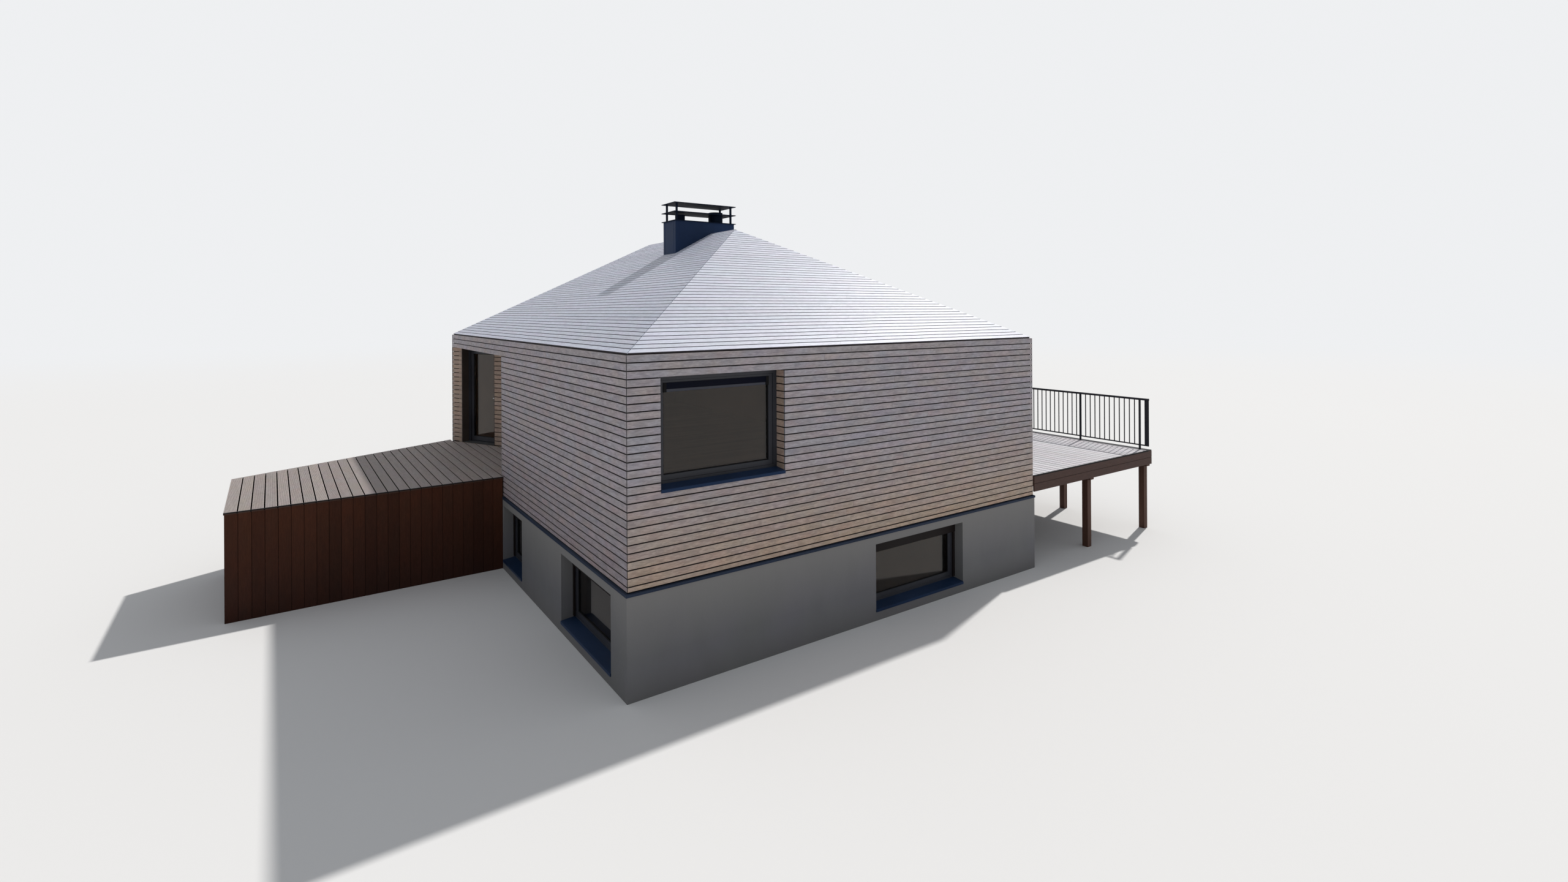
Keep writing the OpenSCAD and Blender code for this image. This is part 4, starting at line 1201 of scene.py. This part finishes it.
class BEACHHOUSE_OT_wall_boards(bpy.types.Operator):
    """Lay the horizontal boards of the upper walls, the window reveals and the entrance recess"""

    bl_idname = "beachhouse.wall_boards"
    bl_label = "Wall Boards"

    def execute(self, context):
        house = context.scene.beach_house
        colours = house.colours
        # The dark sawn ends paint shade into the mitred and butt joints
        # The foot tint paints bounce light on the lowest front boards and shade on the lowest boards of the other
        # walls
        boards = board_finish(
            "weathered_wall_boards", colours.wall, contrast=0.9, variation=0.05, warm=(1.07, 0.99, 0.90), bump=0.3,
            knots=0.3, ends=shade(colours.wall, 0.35), foot=(2.7, 1.3, (1.2, 1.0, 0.73), (0.80, 0.75, 0.74)),
            mottle=0.6,
        )
        lay(house, lay_walls, "wall_boards", boards, ("wall_cladding",))
        sheltered = board_finish(
            "sheltered_wall_boards", colours.sheltered, contrast=0.8, variation=0.07, warm=(1.05, 1.0, 0.94),
            bump=0.3, knots=0.25, ends=shade(colours.wall, 0.95), mottle=0.5,
        )
        lay(house, lay_sheltered, "sheltered_boards", sheltered, ("recess_soffit",), seed=6)
        # Near-black battens: painted shade in the corner joints
        dark_timber_as_shade = beam_finish("dark_corner_battens", (0.007, 0.006, 0.006), 2)
        lay(house, lay_battens, "corner_battens", dark_timber_as_shade)
        lay(house, lay_vent_strips, "vent_strips", metal(house, "vent_strip_coating"))
        return {"FINISHED"}


class BEACHHOUSE_OT_roof_boards(bpy.types.Operator):
    """Lay the boards of the four roof slopes"""

    bl_idname = "beachhouse.roof_boards"
    bl_label = "Roof Boards"

    def execute(self, context):
        house = context.scene.beach_house
        finish = board_finish(
            "silvered_roof_boards", house.colours.roof, contrast=0.85, variation=0.05, warm=(1.02, 1.0, 0.97),
            bump=0.25, knots=0.3, roughness=0.5, gloss=0.4, mottle=0.32,
        )
        lay(house, lay_roof, "roof_boards", finish, ("roof_cladding",), seed=1)
        return {"FINISHED"}


class BEACHHOUSE_OT_deck_planks(bpy.types.Operator):
    """Lay the grooved planks of the entry deck and the recess, the plain ones of the terrace, and their screws"""

    bl_idname = "beachhouse.deck_planks"
    bl_label = "Deck Planks"

    def execute(self, context):
        house = context.scene.beach_house
        colours = house.colours
        # The dark brown sawn ends are partly a dark stain on the end grain and partly painted shade at the deck's
        # edge
        deck = board_finish(
            "weathered_deck_planks", colours.deck, contrast=1.0, variation=0.1, warm=(1.03, 1.0, 0.94), bump=0.5,
            knots=0.4, roughness=0.7, ends=shade(colours.dark, 0.8), gloss=0.45,
        )
        lay(house, lay_entry, "entry_deck_planks", deck, ("entry_deck", "recess_deck"), seed=2)
        # Dark edge strip: painted shade of the ground under the deck
        dark_timber_as_shade = beam_finish("dark_edge_strip", (0.03, 0.022, 0.018), 0)
        lay(house, lay_edge_strip, "deck_edge_strip", dark_timber_as_shade)
        lay(house, lay_edge_trims, "deck_edge_trims", metal(house, "black_edge_trim"))
        terrace = board_finish(
            # The near-black sawn ends are painted shade at the plank ends
            "bleached_terrace_planks", colours.terrace, contrast=1.5, variation=0.1, warm=(1.03, 1.0, 0.97),
            bump=0.06, knots=0.3, roughness=0.56, ends=shade(colours.terrace, 0.12), gloss=0.7, mottle=0.2,
        )
        lay(house, lay_terrace, "terrace_planks", terrace, ("terrace_deck",), seed=5)
        deck_screws("deck_screws", metal(house, "screw_steel"), screw_places(house))
        return {"FINISHED"}


class BEACHHOUSE_OT_dark_boards(bpy.types.Operator):
    """Fix the upright skirt boards of the entry deck and the fascia boards of the terrace"""

    bl_idname = "beachhouse.dark_boards"
    bl_label = "Skirt and Fascia"

    def execute(self, context):
        house = context.scene.beach_house
        dark = house.colours.dark
        # The foot tint darkens the lowest part of the skirt boards as painted shade
        stained = board_finish(
            "dark_stained_boards", dark, contrast=1.3, variation=0.2, warm=(1.12, 1.0, 0.88), bump=0.3, knots=0.0,
            roughness=0.65, foot=(1.5, 0.1, (0.5, 0.5, 0.62), (0.5, 0.5, 0.62)), gloss=0.15,
        )
        lay(house, lay_skirt, "entry_skirt_boards", stained, ("entry_skirt",), seed=3)
        faded = board_finish(
            "faded_fascia_boards", tint(dark, 0.95, 1.3, 1.9), contrast=1.3, variation=0.2, warm=(1.08, 1.0, 0.94),
            bump=0.3, knots=0.0, roughness=0.6,
        )
        lay(house, lay_fascia, "terrace_fascia_boards", faded, ("terrace_fascia",), seed=4)
        return {"FINISHED"}


class BEACHHOUSE_OT_walls_and_floors(bpy.types.Operator):
    """Finish the masonry, the wall and roof panels, the floor and the terrace timbers"""

    bl_idname = "beachhouse.walls_and_floors"
    bl_label = "Masonry and Panels"

    def execute(self, context):
        house = context.scene.beach_house
        colours = house.colours
        give(
            masonry_finish("smooth_grey_render", colours.masonry),
            "base_floor", "base_wall_front", "base_wall_right", "base_wall_back", "base_wall_left",
        )
        sides = recessed_sides(house.plan)
        room_side = 0.21
        for node, index in (
            ("wall_front", 0), ("wall_right", 1), ("wall_back", 2), ("entrance_wall", 3), ("entrance_head", 3),
            ("recess_side_wall", 4), ("wall_left", 5), ("recess_header", 5),
        ):
            give(wall_panel_finish(f"panel_of_{node}", colours, sides[index], room_side), node)
        give(
            roof_panel_finish("membrane_and_ceiling", colours),
            "roof_front", "roof_right", "roof_back", "roof_left",
        )
        give(floor_finish("oiled_floor_boards", colours.floor), "floor_slab")
        for node, axis in (("terrace_joists", 0), ("terrace_beams", 1), ("terrace_posts", 2)):
            give(beam_finish(f"dark_{node}", shade(colours.dark, 1.1), axis), node)
        return {"FINISHED"}


class BEACHHOUSE_OT_metal_and_glass(bpy.types.Operator):
    """Finish the windows, the door, the sills, the flashing, the chimney and the railing"""

    bl_idname = "beachhouse.metal_and_glass"
    bl_label = "Metal and Glass"

    def execute(self, context):
        house = context.scene.beach_house
        for name, nodes in (
            ("anthracite_coating",
             ("base_window_frames", "upper_window_frames", "window_sash", "door_frame", "door_leaf")),
            ("doorway_coating", ("door_lining",)),
            ("dark_blue_sheet", ("window_sills",)),
            ("flashing_sheet", ("drip_flashing",)),
            ("chimney_coating", ("chimney_shaft",)),
            ("railing_coating", ("railing",)),
            ("brushed_steel", ("door_handle", "door_hinges", "leaf_hinges")),
        ):
            give(metal(house, name), *nodes)
        # A darker copy of the chimney coating: the cap's dark plates, and partly painted shade under the cap
        give(metal(house, "chimney_cap_coating", 0.3), "chimney_cap", "chimney_flues")
        glass = glass_finish("window_glass", house.colours.glass)
        give(glass, "base_window_glass", "upper_window_glass", "door_glass")
        lay(house, lay_seams, "chimney_seams", metal(house, "chimney_coating"))
        lay(house, lay_threshold, "door_threshold", metal(house, "threshold_plate"))
        return {"FINISHED"}


class BEACHHOUSE_OT_seals_and_screen(bpy.types.Operator):
    """Fit the sashes of the lower windows, the glazing seals and the rolled screens"""

    bl_idname = "beachhouse.seals_and_screen"
    bl_label = "Seals and Screen"

    def execute(self, context):
        house = context.scene.beach_house
        for boards, name, coating, body in (
            (lay_sashes, "base_window_sashes", "anthracite_coating", "house"),
            (lay_seals, "window_seals", "black_rubber", "house"),
            (lay_door_seal, "door_seal", "black_rubber", "entrance_door"),
            (lay_screen("box"), "screen_box", "screen_box_coating", "house"),
            (lay_lower_screens, "lower_screens", "lower_screen_coating", "house"),
            (lay_screen("bar"), "screen_bar", "screen_bar_coating", "house"),
            (lay_screen("brackets"), "screen_brackets", "black_rubber", "house"),
        ):
            lay(house, boards, name, metal(house, coating), body=body)
        return {"FINISHED"}


class BEACHHOUSE_OT_stage(bpy.types.Operator):
    """Set up the pale floor, the light and the camera"""

    bl_idname = "beachhouse.stage"
    bl_label = "Stage"

    def execute(self, context):
        scene = context.scene
        scene.view_settings.view_transform = "Standard"
        pale_floor(scene)
        pale_world(scene)
        key_light(scene)
        view_camera(scene)
        return {"FINISHED"}


BACKDROP = (0.86, 0.87, 0.885, 1.0)


def seen_rays(tree):
    """1 where the camera, gloss or glass looks, and 0 for the rays that only carry light."""
    path = tree.nodes.new("ShaderNodeLightPath")
    result = path.outputs["Is Camera Ray"]
    for name in ("Is Glossy Ray", "Is Transmission Ray"):
        either = tree.nodes.new("ShaderNodeMath")
        either.operation = "MAXIMUM"
        tree.links.new(result, either.inputs[0])
        tree.links.new(path.outputs[name], either.inputs[1])
        result = either.outputs[0]
    return result


def pale_floor(scene):
    """A wide plain floor that fades into the backdrop far from the house."""
    half_width, fade_start, fade_end = 600.0, 20.0, 110.0
    low, high = Vector((-half_width, -half_width)), Vector((half_width, half_width))
    mesh = bpy.data.meshes.new("studio_floor")
    mesh.from_pydata([(*point, 0.0) for point in outline((low, high))], [], [(0, 1, 2, 3)])
    finish = Finish("studio_floor")
    place = finish.coordinate()
    cloud = finish.noise(place, 0.05, 2.0)
    mesh.materials.append(finish.done({
        "Base Color": finish.mix(cloud, (0.79, 0.79, 0.79), (0.80, 0.80, 0.80)),
        "Roughness": 0.9,
        "Specular IOR Level": 0.1,
    }))
    distance = finish.node("ShaderNodeVectorMath", {0: place}, operation="LENGTH").outputs["Value"]
    fade = finish.node("ShaderNodeMapRange", {
        "Value": distance, "From Min": fade_start, "From Max": fade_end
    }, interpolation_type="SMOOTHERSTEP").outputs["Result"]
    glow = finish.node("ShaderNodeEmission", {"Color": BACKDROP})
    blend = finish.node("ShaderNodeMixShader", {
        0: finish.math("MULTIPLY", fade, seen_rays(finish.tree)), 1: finish.shader.outputs[0], 2: glow.outputs[0]
    })
    finish.feed(finish.tree.nodes["Material Output"], {"Surface": blend.outputs[0]})
    floor = bpy.data.objects.new("studio_floor", mesh)
    scene.collection.objects.link(floor)
    floor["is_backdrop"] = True


def pale_world(scene):
    """Plain light on the object, and a pale backdrop where the camera, gloss or glass looks past it."""
    world = bpy.data.worlds.new("studio")
    world.use_nodes = True
    tree = world.node_tree
    light = tree.nodes["Background"]
    light.inputs["Color"].default_value = (0.93, 0.96, 1.0, 1.0)
    light.inputs["Strength"].default_value = 0.42
    backdrop = tree.nodes.new("ShaderNodeBackground")
    backdrop.inputs["Color"].default_value = BACKDROP
    blend = tree.nodes.new("ShaderNodeMixShader")
    for index, socket in enumerate((seen_rays(tree), light.outputs[0], backdrop.outputs[0])):
        tree.links.new(socket, blend.inputs[index])
    tree.links.new(blend.outputs[0], tree.nodes["World Output"].inputs["Surface"])
    scene.world = world


def key_light(scene):
    """A slightly warm sun lamp, high at the right of the front wall."""
    lamp = bpy.data.lights.new("key", "SUN")
    lamp.energy = 2.83
    lamp.angle = math.radians(1.5)
    lamp.color = (1.0, 0.97, 0.93)
    key = bpy.data.objects.new("key", lamp)
    key.rotation_euler = Vector((0.84, 0.25, 1.0)).to_track_quat("Z", "Y").to_euler()
    scene.collection.objects.link(key)


def view_camera(scene):
    """The camera, at the viewing angle of the photograph."""
    lens = bpy.data.cameras.new("camera")
    lens.lens = 16.64674
    lens.sensor_width = 36.0
    lens.shift_y = -0.0832226
    lens.clip_end = 2000.0
    camera = bpy.data.objects.new("camera", lens)
    camera.location = (-7.40689, -15.33878, 4.71754)
    camera.rotation_euler = (math.radians(90), math.radians(0.29114), math.radians(-35.23435))
    scene.collection.objects.link(camera)
    scene.camera = camera


class BEACHHOUSE_PT_sidebar(bpy.types.Panel):
    """Sizes, colours and steps of the beach house"""

    bl_idname = "BEACHHOUSE_PT_sidebar"
    bl_label = "Beach House"
    bl_space_type = "VIEW_3D"
    bl_region_type = "UI"
    bl_category = "Beach House"

    def draw(self, context):
        house = context.scene.beach_house
        for operator in OPERATORS:
            self.layout.operator(operator.bl_idname)
        for group in (house.plan, house.boards, house.colours):
            box = self.layout.box()
            for name in group.bl_rna.properties.keys():
                if name not in ("rna_type", "name"):
                    box.prop(group, name)


OPERATORS = (
    BEACHHOUSE_OT_stage,
    BEACHHOUSE_OT_walls_and_floors,
    BEACHHOUSE_OT_metal_and_glass,
    BEACHHOUSE_OT_seals_and_screen,
    BEACHHOUSE_OT_wall_boards,
    BEACHHOUSE_OT_roof_boards,
    BEACHHOUSE_OT_deck_planks,
    BEACHHOUSE_OT_dark_boards,
)
GROUPS = (BEACHHOUSE_PG_plan, BEACHHOUSE_PG_boards, BEACHHOUSE_PG_colours, BEACHHOUSE_PG_house)


def register():
    for entry in GROUPS + OPERATORS + (BEACHHOUSE_PT_sidebar,):
        bpy.utils.register_class(entry)
    bpy.types.Scene.beach_house = PointerProperty(type=BEACHHOUSE_PG_house)


def unregister():
    del bpy.types.Scene.beach_house
    for entry in reversed(GROUPS + OPERATORS + (BEACHHOUSE_PT_sidebar,)):
        bpy.utils.unregister_class(entry)


def main():
    register()
    for operator in OPERATORS:
        group, name = operator.bl_idname.split(".")
        getattr(getattr(bpy.ops, group), name)()
    plain = lambda box: [list(corner) for corner in box]
    {"cad": plain(CAD_BOX), "visual": plain(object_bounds())}


if __name__ == "__main__":
    main()
